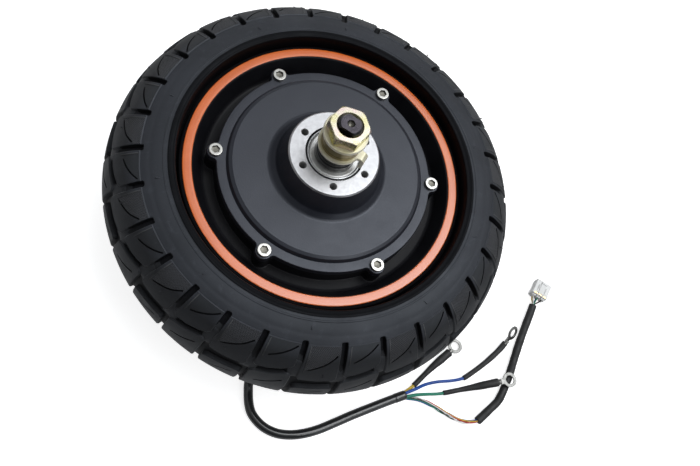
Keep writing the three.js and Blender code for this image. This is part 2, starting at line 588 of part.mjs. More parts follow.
flexible('hall_wires', YELLOW, { rx: 1.4, steps: 16 }, [
  [69, -133.2, 1.75], [77, -134.8, 1.5], [82.7, -136.8, 1.5], [89, -140.3, 1.5],
  [95.2, -145, 1.5], [101.4, -149.4, 1.5], [107.1, -152.8, 1.5], [113.9, -154.8, 1.5],
  [118.6, -155.1, 2.1], [121.3, -154.9, 2.6],
]);
flexible('hall_sleeve', SHRINK, { rx: 3.15, ry: 2.8, steps: 15 }, [
  [122.6, -154.4, 2.9], [132.8, -147.8, 2.9], [140.5, -142.6, 2.9], [144.8, -137.8, 2.9],
  [149, -131.9, 2.9], [154.6, -123.3, 2.9], [160, -113.8, 2.9], [166.9, -101.9, 2.9],
  [175, -89, 2.9], [181.6, -79, 2.9], [186.3, -71.5, 2.9],
]);

// plug: a hollow shell, open at its far end, with a flat tail at the back; built along +X
const plug = block([13, 13.6, 8.4], 13.5, 1.6)
  .subtract(block([9, 11.2, 6], 18, 1.6))
  .add(block([8, 8, 2.4], 4, 0.2));
const plugPlacement = new THREE.Matrix4()
  .makeRotationZ(Math.atan2(16.7, 12))
  .setPosition(186.6, -71, 2.9 - MID);
onAxle('hall_connector', moved(plug, plugPlacement), NYLON);

const root = new THREE.Group();
root.add(axleSide, wheel, ...ballGroups);
export default root;
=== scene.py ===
"""Looks of a hub motor wheel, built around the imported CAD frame.

The wheel lies flat: its axle runs along Z, with the brake side up and the cable side down.
Builders work in millimetres and degrees; a side is +1 for brake (up) and -1 for cable (down).
"""

from math import acos, asin, atan2, ceil, cos, degrees, exp, hypot, pi, radians, sin, tan

import bmesh
import bpy
import numpy as np
from mathutils import Matrix, Vector
from mathutils.geometry import delaunay_2d_cdt


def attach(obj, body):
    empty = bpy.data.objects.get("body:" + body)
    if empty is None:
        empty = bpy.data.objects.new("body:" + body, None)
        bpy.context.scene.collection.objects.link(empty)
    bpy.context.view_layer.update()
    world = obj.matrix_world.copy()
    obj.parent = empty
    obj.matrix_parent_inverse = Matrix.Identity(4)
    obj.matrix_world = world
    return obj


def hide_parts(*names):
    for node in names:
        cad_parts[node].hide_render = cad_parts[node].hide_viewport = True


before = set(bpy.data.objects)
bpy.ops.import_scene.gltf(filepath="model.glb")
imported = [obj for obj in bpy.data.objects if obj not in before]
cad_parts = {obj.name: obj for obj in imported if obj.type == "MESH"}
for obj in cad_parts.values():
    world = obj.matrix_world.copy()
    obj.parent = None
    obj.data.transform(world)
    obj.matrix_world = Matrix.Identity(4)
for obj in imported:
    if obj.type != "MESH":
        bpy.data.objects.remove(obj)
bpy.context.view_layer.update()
DEGREE = pi / 180
MID = 75.0                # height of the wheel's mid-plane
EXIT = -111.4             # direction in which the cable leaves the axle
FLAT = 54.0               # direction the axle's flats face
SIDES = (("brake", 1), ("cable", -1))
WHEEL, AXLE = "wheel", "axle_assembly"    # the bodies that pieces ride


# ---------------------------------------------------------------- plane and curve helpers
norm = np.linalg.norm


def cosd(angle):
    return cos(angle * DEGREE)


def sind(angle):
    return sin(angle * DEGREE)


def polar(radius, angle, z=0.0):
    return (radius * cosd(angle), radius * sind(angle), z)


def polar_xy(radius, angle):
    return polar(radius, angle)[:2]


def angles(count, phase=0.0):
    return [phase + 360.0 * i / count for i in range(count)]


def raised(profile, base, side=1):
    """Lifts a (radius, height) profile to a base height, mirrored for side -1."""
    return [(radius, base + side * z) for radius, z in profile]


def mirrored(half):
    return [(radius, -z) for radius, z in half[::-1]]


def numbered(loops):
    """The loops' points numbered in one run, a list of indices per loop."""
    out, start = [], 0
    for loop in loops:
        out.append(list(range(start, start + len(loop))))
        start += len(loop)
    return out


def fillet(corners, radii, steps=4, closed=True):
    """Rounds the corners of a plane polyline. radii is one number or one per corner."""
    count = len(corners)
    if not hasattr(radii, "__len__"):
        radii = [radii] * count
    out = []
    for i in range(count):
        corner = np.array(corners[i], float)
        if (not closed and i in (0, count - 1)) or radii[i] <= 0:
            out.append(tuple(corner))
            continue
        back = np.array(corners[i - 1], float) - corner
        ahead = np.array(corners[(i + 1) % count], float) - corner
        back_len, ahead_len = norm(back), norm(ahead)
        back, ahead = back / back_len, ahead / ahead_len
        angle = acos(float(np.clip(back @ ahead, -1, 1)))
        if angle > pi - 0.02 or angle < 0.02:
            out.append(tuple(corner))
            continue
        cut = min(radii[i] / tan(angle / 2), 0.46 * back_len, 0.46 * ahead_len)
        radius = cut * tan(angle / 2)
        bisector = (back + ahead) / norm(back + ahead)
        centre = corner + bisector * (radius / sin(angle / 2))
        start, end = corner + back * cut - centre, corner + ahead * cut - centre
        first = atan2(start[1], start[0])
        sweep = (atan2(end[1], end[0]) - first + pi) % (2 * pi) - pi
        for k in range(steps + 1):
            turn = first + sweep * k / steps
            out.append((centre[0] + radius * cos(turn), centre[1] + radius * sin(turn)))
    return out


def fillet_rows(rows, steps=4, closed=False):
    """Fillets an outline given as rows of x, y and corner radius."""
    return fillet([row[:2] for row in rows], [row[2] for row in rows], steps, closed)


def offset(outline, distance, closed=True):
    """Moves an outline to its right, which is outwards if it runs anticlockwise."""
    spots = np.array(outline, float)
    count = len(spots)
    out = []
    for i, spot in enumerate(spots):
        if not closed and i in (0, count - 1):
            out.append(spot + np.array((0.0, -1.0)) * distance)
            continue
        before, after = spot - spots[i - 1], spots[(i + 1) % count] - spot
        before_len, after_len = norm(before), norm(after)
        if before_len < 1e-9:
            before, before_len = after, after_len
        if after_len < 1e-9:
            after, after_len = before, before_len
        normal1 = np.array((before[1], -before[0])) / before_len
        normal2 = np.array((after[1], -after[0])) / after_len
        out.append(spot + (normal1 + normal2) / max(1 + normal1 @ normal2, 0.35) * distance)
    return [tuple(spot) for spot in out]


def circle(radius, count, x=0.0, y=0.0, clockwise=False):
    spots = [(x + radius * cosd(angle), y + radius * sind(angle))
             for angle in (360 * i / count for i in range(count))]
    return spots[::-1] if clockwise else spots


def rounded_rect(width, height, radius, steps=3, x=0.0, y=0.0):
    left, right, low, high = x - width / 2, x + width / 2, y - height / 2, y + height / 2
    return fillet([(left, low), (right, low), (right, high), (left, high)], radius, steps)


def catmull(stations, count=60):
    """count + 1 evenly spaced points along a centripetal Catmull-Rom curve."""
    knots = np.array(stations, float)
    knots = np.vstack([2 * knots[0] - knots[1], knots, 2 * knots[-1] - knots[-2]])
    dense = []
    for i in range(1, len(knots) - 2):
        p0, p1, p2, p3 = knots[i - 1:i + 3]
        t0 = 0.0
        t1 = t0 + max(norm(p1 - p0), 1e-9) ** 0.5
        t2 = t1 + max(norm(p2 - p1), 1e-9) ** 0.5
        t3 = t2 + max(norm(p3 - p2), 1e-9) ** 0.5
        for t in np.linspace(t1, t2, 24, endpoint=False):
            a1 = (t1 - t) / (t1 - t0) * p0 + (t - t0) / (t1 - t0) * p1
            a2 = (t2 - t) / (t2 - t1) * p1 + (t - t1) / (t2 - t1) * p2
            a3 = (t3 - t) / (t3 - t2) * p2 + (t - t2) / (t3 - t2) * p3
            b1 = (t2 - t) / (t2 - t0) * a1 + (t - t0) / (t2 - t0) * a2
            b2 = (t3 - t) / (t3 - t1) * a2 + (t - t1) / (t3 - t1) * a3
            dense.append((t2 - t) / (t2 - t1) * b1 + (t - t1) / (t2 - t1) * b2)
    dense = np.array([*dense, knots[-2]])
    length = np.concatenate([[0], np.cumsum(norm(np.diff(dense, axis=0), axis=1))])
    wanted = np.linspace(0, length[-1], count + 1)
    return np.stack([np.interp(wanted, length, dense[:, k]) for k in range(3)], 1)


def straight(start, end, shares=(0, 0.5, 1)):
    start, end = Vector(start), Vector(end)
    return [tuple(start + (end - start) * share) for share in shares]


def frames(path):
    """Tangent and two side vectors along a curve, turning as little as possible."""
    tangents = np.gradient(path, axis=0)
    tangents /= norm(tangents, axis=1)[:, None]
    up = np.array((0, 0, 1.0)) if abs(tangents[0][2]) < 0.9 else np.array((1.0, 0, 0))
    side = np.cross(up, tangents[0])
    side /= norm(side)
    first, second = [], []
    for tangent in tangents:
        side = side - (side @ tangent) * tangent
        side /= norm(side)
        first.append(side)
        second.append(np.cross(tangent, side))
    return tangents, np.array(first), np.array(second)


def local(start, end, up=(0, 0, 1)):
    """Matrix at start whose X runs to end and whose Z is as near up as it can be."""
    x = (Vector(end) - Vector(start)).normalized()
    y = Vector(up).cross(x).normalized()
    z = x.cross(y)
    return Matrix((*((x[i], y[i], z[i], start[i]) for i in range(3)), (0, 0, 0, 1)))


def along(start, end):
    """Matrix at start whose Z runs to end."""
    return local(start, end) @ Matrix.Rotation(pi / 2, 4, "Y")


# ---------------------------------------------------------------- mesh building
class Shape:
    """Points in millimetres, faces and material slots of one piece."""

    def __init__(self):
        self.points, self.faces, self.slots = [], [], []

    def face(self, ids, slot=0):
        self.faces.append(tuple(ids))
        self.slots.append(slot)

    def ring(self, points):
        start = len(self.points)
        self.points.extend([float(c) for c in point] for point in points)
        return list(range(start, len(self.points)))

    def bridge(self, near, far, slot=0, closed=True):
        """Quads between two rings. slot may be a function of the quad's index."""
        count = len(near)
        for i in range(count if closed else count - 1):
            j = (i + 1) % count
            self.face((near[i], near[j], far[j], far[i]), slot(i) if callable(slot) else slot)

    def fan(self, ring, centre, slot=0):
        for i in range(len(ring)):
            self.face((ring[i], ring[(i + 1) % len(ring)], centre), slot)

    def peak(self, ring, point, slot=0):
        self.fan(ring, self.ring([point])[0], slot)

    def loft(self, rings, slot=0, closed=False):
        """Joins rings in a row; a ring of one point is a pole. slot may be a function of k."""
        following = rings[1:] + rings[:1] if closed else rings[1:]
        for k, (near, far) in enumerate(zip(rings, following)):
            here = slot(k) if callable(slot) else slot
            if len(near) == 1:
                self.fan(far[::-1], near[0], here)
            elif len(far) == 1:
                self.fan(near, far[0], here)
            else:
                self.bridge(near, far, here)

    def fill(self, uv, loops, ids, slot=0, lines=()):
        """Triangles inside closed loops of indices into uv, even-odd.

        ids gives the vertex for each uv point, lines are extra open edges to keep, and slot
        may be a function of a triangle's centre.
        """
        edges = [pair for loop in loops for pair in zip(loop, loop[1:] + loop[:1])]
        rims = np.array([[uv[a], uv[b]] for a, b in edges], float)
        for line in lines:
            edges += list(zip(line, line[1:]))
        spots, _, tris, sources, _, _ = delaunay_2d_cdt(
            [Vector(p) for p in uv], edges, [], 0, 1e-9, True)
        centres = np.array([[sum(spots[i][axis] for i in tri) / len(tri) for axis in (0, 1)]
                            for tri in tris])
        inside = np.zeros(len(centres), bool)
        for (x1, y1), (x2, y2) in rims:
            if y1 != y2:
                spans = (y1 > centres[:, 1]) != (y2 > centres[:, 1])
                crossing = (x2 - x1) * (centres[:, 1] - y1) / (y2 - y1) + x1
                inside ^= spans & (centres[:, 0] < crossing)
        for k, tri in enumerate(tris):
            if inside[k]:
                found = [ids[sources[i][0]] for i in tri]
                if len(set(found)) == 3:
                    self.face(found, slot(centres[k]) if callable(slot) else slot)

    def flat(self, loops, slot=0):
        """Fills a level face between loops of this shape's vertices."""
        ids = [i for loop in loops for i in loop]
        self.fill([self.points[i][:2] for i in ids], numbered(loops), ids, slot)

    def add(self, other, matrix):
        start = len(self.points)
        self.points.extend(list(matrix @ Vector(point)) for point in other.points)
        self.faces.extend(tuple(i + start for i in face) for face in other.faces)
        self.slots.extend(other.slots)

    def moved(self, matrix):
        result = Shape()
        result.add(self, matrix)
        return result

    def revolve(self, profile, around, closed=True, slot=0, twist=None):
        """Turns a (radius, height) profile about Z. twist holds an angle per profile point."""
        rings = []
        for k, (radius, z) in enumerate(profile):
            shift = twist[k] if twist else 0.0
            rings.append(self.ring([(0, 0, z)] if radius < 1e-6 else
                                   [polar(radius, angle + shift, z) for angle in around]))
        self.loft(rings, slot, closed)
        return rings

    def plate(self, outer, holes, z0, z1, chamfer=0.12, slot=0):
        """A flat plate from an anticlockwise outline with clockwise holes, edges broken."""
        tops, bottoms = [], []
        for loop in [outer, *holes]:
            inset = offset(loop, -chamfer)
            levels = ((inset, z0), (loop, z0 + chamfer), (loop, z1 - chamfer), (inset, z1))
            rings = [self.ring([(x, y, z) for x, y in spots]) for spots, z in levels]
            self.loft(rings, slot)
            tops.append(rings[-1])
            bottoms.append(rings[0])
        self.flat(tops, slot)
        self.flat(bottoms, slot)

    def tube(self, path, radius, sides=20, round_end=0.25, flat=lambda share: 1.0):
        """A bar along a path with broken end edges.

        radius may be a function of the share of the length; flat, another such function,
        squeezes the bar along its second side vector.
        """
        path = np.array(path, float)
        tangent, across, over = frames(path)
        last = len(path) - 1
        start_step, end_step = tangent[0] * round_end, tangent[-1] * round_end
        # index on the path, centre, and how much the radius is cut back
        stations = [(0, path[0], round_end), (0, path[0] + start_step * 0.3, round_end * 0.3)]
        for k, centre in enumerate(path):
            if k == 0:
                centre = centre + start_step
            elif k == last:
                centre = centre - end_step
            stations.append((k, centre, 0))
        stations += [(last, path[-1] - end_step * 0.3, round_end * 0.3),
                     (last, path[-1], round_end)]
        rings = []
        for k, centre, cut in stations:
            share = k / last
            reach = (radius(share) if callable(radius) else radius) - cut
            squeezed = reach * flat(share)
            rings.append(self.ring([centre + across[k] * (reach * cos(2 * pi * i / sides))
                                    + over[k] * (squeezed * sin(2 * pi * i / sides))
                                    for i in range(sides)]))
        self.loft(rings)
        self.face(rings[0][::-1])
        self.face(rings[-1])

    def mesh(self, name):
        mesh = bpy.data.meshes.new(name)
        mesh.from_pydata((np.array(self.points, float) * 0.001).tolist(), [], self.faces)
        mesh.polygons.foreach_set("material_index", self.slots)
        bm = bmesh.new()
        bm.from_mesh(mesh)
        bmesh.ops.remove_doubles(bm, verts=bm.verts, dist=2e-6)
        bmesh.ops.dissolve_degenerate(bm, dist=1e-7, edges=bm.edges)
        # a sliver laid over an edge that is already closed is not part of the skin
        slivers = [face for face in bm.faces if len(face.verts) == 3
                   and sum(len(edge.link_faces) > 2 for edge in face.edges) == 2
                   and any(len(edge.link_faces) == 1 for edge in face.edges)]
        if slivers:
            bmesh.ops.delete(bm, geom=slivers, context="FACES")
        loose = [vert for vert in bm.verts if not vert.link_faces]
        if loose:
            bmesh.ops.delete(bm, geom=loose, context="VERTS")
        bmesh.ops.recalc_face_normals(bm, faces=bm.faces)
        bm.to_mesh(mesh)
        bm.free()
        return mesh


def boolean(mesh, tool, operation="DIFFERENCE"):
    """Cuts or joins a closed mesh with a closed shape; the result has no materials yet."""
    target = bpy.data.objects.new("_a", mesh)
    cutter = bpy.data.objects.new("_b", tool.mesh("_tool"))
    for obj in (target, cutter):
        bpy.context.scene.collection.objects.link(obj)
    modifier = target.modifiers.new("b", "BOOLEAN")
    modifier.operation, modifier.object, modifier.solver = operation, cutter, "MANIFOLD"
    bpy.context.view_layer.update()
    evaluated = target.evaluated_get(bpy.context.evaluated_depsgraph_get())
    result = bpy.data.meshes.new_from_object(evaluated)
    for obj in (target, cutter):
        bpy.data.objects.remove(obj)
    result.materials.clear()
    return result


def by_place(mesh, rule):
    """Gives each face the material slot that rule(radius, height) names, in millimetres."""
    mesh.polygons.foreach_set("material_index", [
        rule(hypot(face.center[0], face.center[1]) * 1000, face.center[2] * 1000)
        for face in mesh.polygons])


def piece(name, shape, materials, body, slot, replaces="", sharp=32, weighted=True):
    """Makes an object from a Shape or a finished mesh, parents it to its body and hides the part
    it replaces.
    """
    if isinstance(shape, Shape):
        mesh = shape.mesh(name)
    else:
        mesh = shape
        mesh.name = name
    for material in materials:
        mesh.materials.append(material)
    mesh.polygons.foreach_set("use_smooth", [True] * len(mesh.polygons))
    mesh.set_sharp_from_angle(angle=sharp * DEGREE)
    obj = bpy.data.objects.new(name, mesh)
    bpy.context.scene.collection.objects.link(obj)
    if weighted:
        modifier = obj.modifiers.new("weighted", "WEIGHTED_NORMAL")
        modifier.keep_sharp = True
        modifier.weight = 60
    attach(obj, body)
    if replaces:
        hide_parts(replaces)


def soft_piece(name, shape, material, slot, replaces=""):
    """A bent round part of the axle assembly, shaded smooth all along."""
    piece(name, shape, [material], AXLE, slot, replaces, sharp=50, weighted=False)


def lathe(name, profile, material, body, slot, replaces, count=96, rounds=0.25, steps=3):
    part = Shape()
    part.revolve(fillet(profile, rounds, steps), angles(count))
    piece(name, part, [material], body, slot, replaces)


# ---------------------------------------------------------------- material nodes
def add_node(tree, kind, inputs=None, **settings):
    """A shader node with its settings; each input takes a value or another node's output."""
    node = tree.nodes.new("ShaderNode" + kind)
    for key, value in settings.items():
        setattr(node, key, value)
    for key, value in (inputs or {}).items():
        put(tree, node.inputs[key], value)
    return node


def put(tree, socket, value):
    if hasattr(value, "is_linked"):
        tree.links.new(value, socket)
    elif isinstance(value, tuple) and len(value) == 3 and socket.type == "RGBA":
        socket.default_value = (*value, 1.0)
    else:
        socket.default_value = value


def map_range(tree, value, span, to, **settings):
    """Maps the range span onto the range to."""
    inputs = {"Value": value, "From Min": span[0], "From Max": span[1],
              "To Min": to[0], "To Max": to[1]}
    return add_node(tree, "MapRange", inputs, **settings).outputs[0]


class Surface:
    """A material whose textures lie in object coordinates, in metres."""

    def __init__(self, name):
        self.material = bpy.data.materials.new(name)
        self.material.use_nodes = True
        self.tree = self.material.node_tree
        self.place = self.add("TexCoord").outputs["Object"]

    def add(self, kind, inputs=None, **settings):
        return add_node(self.tree, kind, inputs, **settings)

    def noise(self, scale, detail=3.0, rough=0.5, vector=None, distort=0.0):
        return self.add("TexNoise", {
            "Scale": scale, "Detail": detail, "Roughness": rough, "Distortion": distort,
            "Vector": self.place if vector is None else vector}).outputs["Fac"]

    def math(self, operation, first, second):
        inputs = {0: first, 1: second, 2: 0.0}
        return self.add("Math", inputs, operation=operation).outputs[0]

    def remap(self, value, span, to=(0, 1)):
        return map_range(self.tree, value, span, to)

    def mix(self, share, first, second):
        return self.add("Mix", {0: share, 6: first, 7: second}, data_type="RGBA").outputs[2]

    def split(self):
        return self.add("SeparateXYZ", {0: self.place}).outputs

    def radius(self):
        """Distance from the Z axis."""
        x, y, _ = self.split()
        squares = [self.math("MULTIPLY", x, x), self.math("MULTIPLY", y, y)]
        return self.math("SQRT", self.math("ADD", *squares), 0.0)

    def bump(self, height, depth, strength=1.0, normal=None):
        inputs = {"Distance": depth, "Strength": strength, "Height": height}
        if normal is not None:
            inputs["Normal"] = normal
        return self.add("Bump", inputs).outputs[0]

    def tool_marks(self, scale):
        """Fine rings about the axis."""
        stretched = self.math("MULTIPLY", self.radius(), scale)
        vector = self.add("CombineXYZ", {0: stretched}).outputs[0]
        return self.noise(scale=1.0, detail=2, rough=0.6, vector=vector)

    def edge(self, radius):
        """1 along outer edges, for wear and painted edge highlights, 0 on faces: how far a
        rounded normal leaves the true one, broken up by noise. radius is in metres."""
        bevel = self.add("Bevel", {"Radius": radius}, samples=4)
        true = self.add("NewGeometry").outputs["Normal"]
        dot = self.add("VectorMath", {0: bevel.outputs[0], 1: true}, operation="DOT_PRODUCT")
        bend = self.math("SUBTRACT", 1.0, dot.outputs["Value"])
        patches = self.remap(self.noise(scale=420), span=(0.35, 0.65), to=(0.25, 1.0))
        return self.remap(self.math("MULTIPLY", bend, patches), span=(0.02, 0.18))

    def done(self, color, rough, metal=0.0, normal=None, **others):
        """Sets the shader's inputs; others are input names with _ for each space."""
        inputs = {"Base Color": color, "Roughness": rough, "Metallic": metal}
        if normal is not None:
            inputs["Normal"] = normal
        inputs.update((key.replace("_", " "), value) for key, value in others.items())
        shader = self.tree.nodes["Principled BSDF"]
        for key, value in inputs.items():
            put(self.tree, shader.inputs[key], value)
        return self.material


def shade(color, factor, lift=0.0):
    return tuple(min(1.0, c * factor + lift) for c in color)


def rubber(name, color=(0.021, 0.0225, 0.028), ribbed=False, spec=0.5):
    """Mottled, dusty rubber; the near-black bead is painted shade, the darker tread partly so.
    """
    surf = Surface(name)
    broad = surf.noise(scale=28, detail=4)
    fine = surf.noise(scale=1500, detail=3, rough=0.6)
    dust = surf.noise(scale=160, detail=5, rough=0.65, distort=0.4)
    look = surf.mix(surf.remap(broad, (0.35, 0.65)), shade(color, 0.85), shade(color, 1.18))
    look = surf.mix(surf.remap(dust, (0.56, 0.74), to=(0, 0.3)), look, shade(color, 3.2))
    # painted shade: the bead goes near-black for the shaded gap between rim lip and tyre
    bead = surf.remap(surf.radius(), (0.0915, 0.0975), to=(0.85, 0.0))
    look = surf.mix(bead, look, (0.004, 0.004, 0.005))
    # partly painted shade: the tread's darker rubber is set dark enough to carry the shade on
    # the lower tread
    tread_shade = surf.remap(surf.radius(), (0.116, 0.122), to=(0.0, 0.75))
    look = surf.mix(tread_shade, look, (0.0105, 0.0105, 0.0108))
    rough = surf.remap(surf.noise(scale=60, detail=4), (0.3, 0.7), to=(0.5, 0.66))
    normal = surf.bump(fine, depth=0.00012, strength=0.35)
    normal = surf.bump(surf.noise(scale=220, detail=2), 0.0003, strength=0.18, normal=normal)
    if ribbed:   # two sets of spiral ridges that cross
        x, y, _ = surf.split()
        turn = surf.math("MULTIPLY", surf.math("ARCTAN2", y, x), 640.0)
        out = surf.math("MULTIPLY", surf.radius(), 5000.0)
        waves = [surf.math("SINE", surf.math(way, turn, out), 0.0)
                 for way in ("ADD", "SUBTRACT")]
        ridge = surf.math("MAXIMUM", *waves)
        normal = surf.bump(ridge, depth=0.00028, strength=0.8, normal=normal)
        look = surf.mix(surf.remap(ridge, (-1, 1), to=(0.0, 0.25)), look, (0.09, 0.09, 0.1))
    shine = surf.remap(surf.radius(), (0.116, 0.122), to=(spec, spec * 0.55))
    return surf.done(look, rough, normal=normal, Specular_IOR_Level=shine,
                     Specular_Tint=(0.86, 0.92, 1.0, 1.0),
                     Sheen_Weight=0.04 if spec > 0.3 else 0.0)


def paint(name, dark, light, rough, peel, wear_and_glint=None, spec=0.5, grain=900, tint=(1.0, 1.0, 1.0)):
    """Baked or powder coat: mottle, orange peel, and bright edges, rubbed and partly painted
    highlight.
    """
    surf = Surface(name)
    look = surf.mix(surf.remap(surf.noise(scale=45, detail=4), (0.35, 0.65)), dark, light)
    specks = surf.remap(surf.noise(scale=2600, detail=2), (0.6, 0.75), to=(0, 0.35))
    look = surf.mix(specks, look, shade(light, 1.9, lift=0.01))
    gloss = surf.remap(surf.noise(scale=90, detail=5, rough=0.6), (0.3, 0.7),
                       to=(rough * 0.9, rough * 1.15))
    # bright edges: rubbed paint, and on the cover also a painted highlight along its edges
    if wear_and_glint:
        rubbed_and_glint = surf.math("MULTIPLY", surf.edge(radius=0.35 * 0.001), wear_and_glint)
        look = surf.mix(rubbed_and_glint, look, (0.2, 0.2, 0.21))
    normal = surf.bump(surf.noise(scale=grain, detail=2), depth=peel, strength=0.6)
    return surf.done(look, gloss, normal=normal, Coat_Roughness=0.08,
                     Specular_IOR_Level=spec, Specular_Tint=(*tint, 1.0))


def metal(name, dark, light, rough, rings=0.0, scratch=0.5, wear_and_glint=0.0, edge_color=None,
          metallic=1.0):
    """Turned or plated metal: mottled tint, tool marks round the axis, fine scratches."""
    surf = Surface(name)
    mottle = surf.noise(scale=300, detail=4, rough=0.6)
    look = surf.mix(surf.remap(mottle, (0.35, 0.65)), dark, light)
    gloss = surf.remap(surf.noise(scale=500, detail=4, rough=0.7), (0.3, 0.7),
                       to=(rough * 0.8, rough * 1.25))
    normal = surf.bump(surf.noise(scale=3000, detail=2), depth=0.00002, strength=scratch)
    if rings:
        marks = surf.tool_marks(scale=3800.0)
        normal = surf.bump(marks, depth=0.00003 * rings, strength=0.8, normal=normal)
        gloss = surf.math("ADD", gloss, surf.remap(marks, (0.3, 0.7), to=(-0.05, 0.06)))
        look = surf.mix(surf.remap(marks, (0.35, 0.65), to=(0.0, 0.22)), look,
                        shade(light, 0.72))
    if wear_and_glint:
        rubbed_and_glint = surf.math("MULTIPLY", surf.edge(radius=0.3 * 0.001), wear_and_glint)
        look = surf.mix(rubbed_and_glint, look, edge_color)
    return surf.done(look, gloss, metallic, normal)


def plated(name, stops, rough, rings=0.0, metallic=1.0):
    """Yellow passivated zinc in patches that change with the angle of view."""
    surf = Surface(name)
    facing = surf.add("LayerWeight", {0: 0.35}).outputs["Facing"]
    patches = surf.noise(scale=95, detail=3, rough=0.55)
    share = surf.math("ADD", surf.math("MULTIPLY", patches, 0.75),
                      surf.math("MULTIPLY", facing, 0.42))
    ramp = surf.add("ValToRGB", {0: share})
    elements = ramp.color_ramp.elements
    while len(elements) < len(stops):
        elements.new(0.5)
    for element, (position, color) in zip(elements, stops):
        element.position, element.color = position, (*color, 1.0)
    specks = surf.remap(surf.noise(scale=1400), (0.58, 0.75), to=(0, 0.12))
    look = surf.mix(specks, ramp.outputs[0], (0.32, 0.29, 0.2))
    gloss = surf.remap(surf.noise(scale=420, detail=4), (0.3, 0.7),
                       to=(rough * 0.8, rough * 1.3))
    normal = surf.bump(surf.noise(scale=1700), depth=0.00003, strength=0.6)
    if rings:
        marks = surf.tool_marks(scale=3000.0)
        normal = surf.bump(marks, depth=0.00004 * rings, strength=0.8, normal=normal)
    return surf.done(look, gloss, metallic, normal)


def plastic(name, color, rough, light=None, spec=0.5, coat=0.0, grain=1200, bump=0.00003):
    """Extruded or moulded plastic: faint colour drift, scuffs and fine surface grain."""
    surf = Surface(name)
    light = light or shade(color, 1.25, lift=0.004)
    look = surf.mix(surf.remap(surf.noise(scale=80, detail=4), (0.35, 0.65)), color, light)
    scuffs = surf.remap(surf.noise(scale=700, detail=4, rough=0.7), (0.62, 0.8), to=(0, 0.25))
    look = surf.mix(scuffs, look, shade(color, 0.6, lift=0.05))
    gloss = surf.remap(surf.noise(scale=300, detail=4), (0.3, 0.7),
                       to=(rough * 0.8, rough * 1.25))
    normal = surf.bump(surf.noise(scale=grain), depth=bump, strength=0.5)
    return surf.done(look, gloss, normal=normal, Specular_IOR_Level=spec, Coat_Weight=coat,
                     Coat_Roughness=0.12)


def laminate():
    """Cut edges of steel sheets 0.5 mm thick, stacked along Z."""
    surf = Surface("lamination_edges")
    wave = surf.math("SINE", surf.math("MULTIPLY", surf.split()[2], 2 * pi / 0.0005), 0.0)
    look = surf.mix(surf.remap(wave, (-1, 1)), (0.16, 0.165, 0.17), (0.34, 0.345, 0.35))
    rough = surf.remap(surf.noise(scale=400), (0.3, 0.7), to=(0.4, 0.55))
    return surf.done(look, rough, metal=1.0,
                     normal=surf.bump(wave, depth=0.00004, strength=0.6))


# ---------------------------------------------------------------- materials
RUBBER = rubber("tyre_rubber")
RUBBER_RIB = rubber("tyre_rubber_ribbed", (0.015, 0.015, 0.0175), ribbed=True)
# painted highlight: much lighter rubber on the raised lines, for the light they catch
RUBBER_LINE_LIT = rubber("tyre_rubber_raised_line_lit", (0.06, 0.06, 0.062))
# painted shade: a much darker, less shiny copy of the rubber for deep groove floors and walls
RUBBER_GROOVE_SHADED = rubber("tyre_rubber_groove_shaded", (0.006, 0.006, 0.0075), spec=0.22)
# painted shade: near-black, barely shiny bead rubber for the shaded gap beside the rim lip
RUBBER_BEAD_SHADED = rubber("tyre_rubber_bead_shaded", (0.004, 0.004, 0.005), spec=0.12)
RUBBER_PANEL = rubber("tyre_rubber_panel", (0.0155, 0.0165, 0.019))
# paints and metals: name, darker colour, lighter colour
RIM_GLOSS = paint("rim_gloss_black", (0.005, 0.005, 0.0065), (0.008, 0.008, 0.010),
                  rough=0.3, peel=0.00002, wear_and_glint=0.12, spec=0.4)
# painted shade: a copy of the rim black with little reflection, for the recessed dish and drum
RIM_DISH_SHADED = paint("rim_dish_black_shaded", (0.009, 0.009, 0.0108), (0.013, 0.013, 0.015),
                  rough=0.36, peel=0.00005, wear_and_glint=0.3, spec=0.09)
# partly painted shade: the lip's own black, darkened and nearly without reflection, for the
# shaded gap by the tyre
RIM_LIP_SHADED = paint("rim_lip_black_shaded", (0.003, 0.003, 0.0035), (0.005, 0.005, 0.006),
                rough=0.6, peel=0.00002, spec=0.02)
# partly painted highlight: its bright edges are raised to draw the light lines along the ledge
# and lobes
COVER = paint("cover_charcoal", (0.0142, 0.0155, 0.0215), (0.0205, 0.022, 0.029),
              rough=0.36, peel=0.00007, wear_and_glint=0.6, spec=0.55, tint=(0.86, 0.90, 1.0))
ORANGE = paint("stripe_orange", (0.70, 0.13, 0.012), (0.78, 0.155, 0.018),
               rough=0.23, peel=0.00003, spec=1.0, grain=1400)
# partly painted highlight: the turned chamfer is kept lighter than the black to draw the thin
# light line inside the stripe
RIM_EDGE_HIGHLIGHT = metal("rim_turned_edge_highlight", (0.010, 0.010, 0.011), (0.018, 0.018, 0.02),
                 rough=0.4, rings=0.3, metallic=0.3)
BARE = metal("flange_machined", (0.50, 0.50, 0.515), (0.58, 0.58, 0.595), rough=0.4, rings=0.5)
STAINLESS = metal("screw_stainless", (0.46, 0.455, 0.43), (0.56, 0.55, 0.52), rough=0.3)
SOCKET = metal("screw_socket", (0.13, 0.125, 0.11), (0.22, 0.21, 0.18), rough=0.42)
# painted shade: near-black on the bearing bore's mouth, for the shaded gap round the bearing
RECESS_SHADED = paint("recess_black_shaded", (0.003, 0.003, 0.0035), (0.005, 0.005, 0.006),
               rough=0.6, peel=0.00002, spec=0.15)
THREAD = metal("tapped_hole_wall", (0.30, 0.30, 0.30), (0.44, 0.44, 0.44),
               rough=0.45, metallic=0.5)
BEARING = metal("bearing_steel", (0.50, 0.505, 0.51), (0.60, 0.605, 0.61),
                rough=0.3, rings=0.3, scratch=0.2, metallic=0.85)
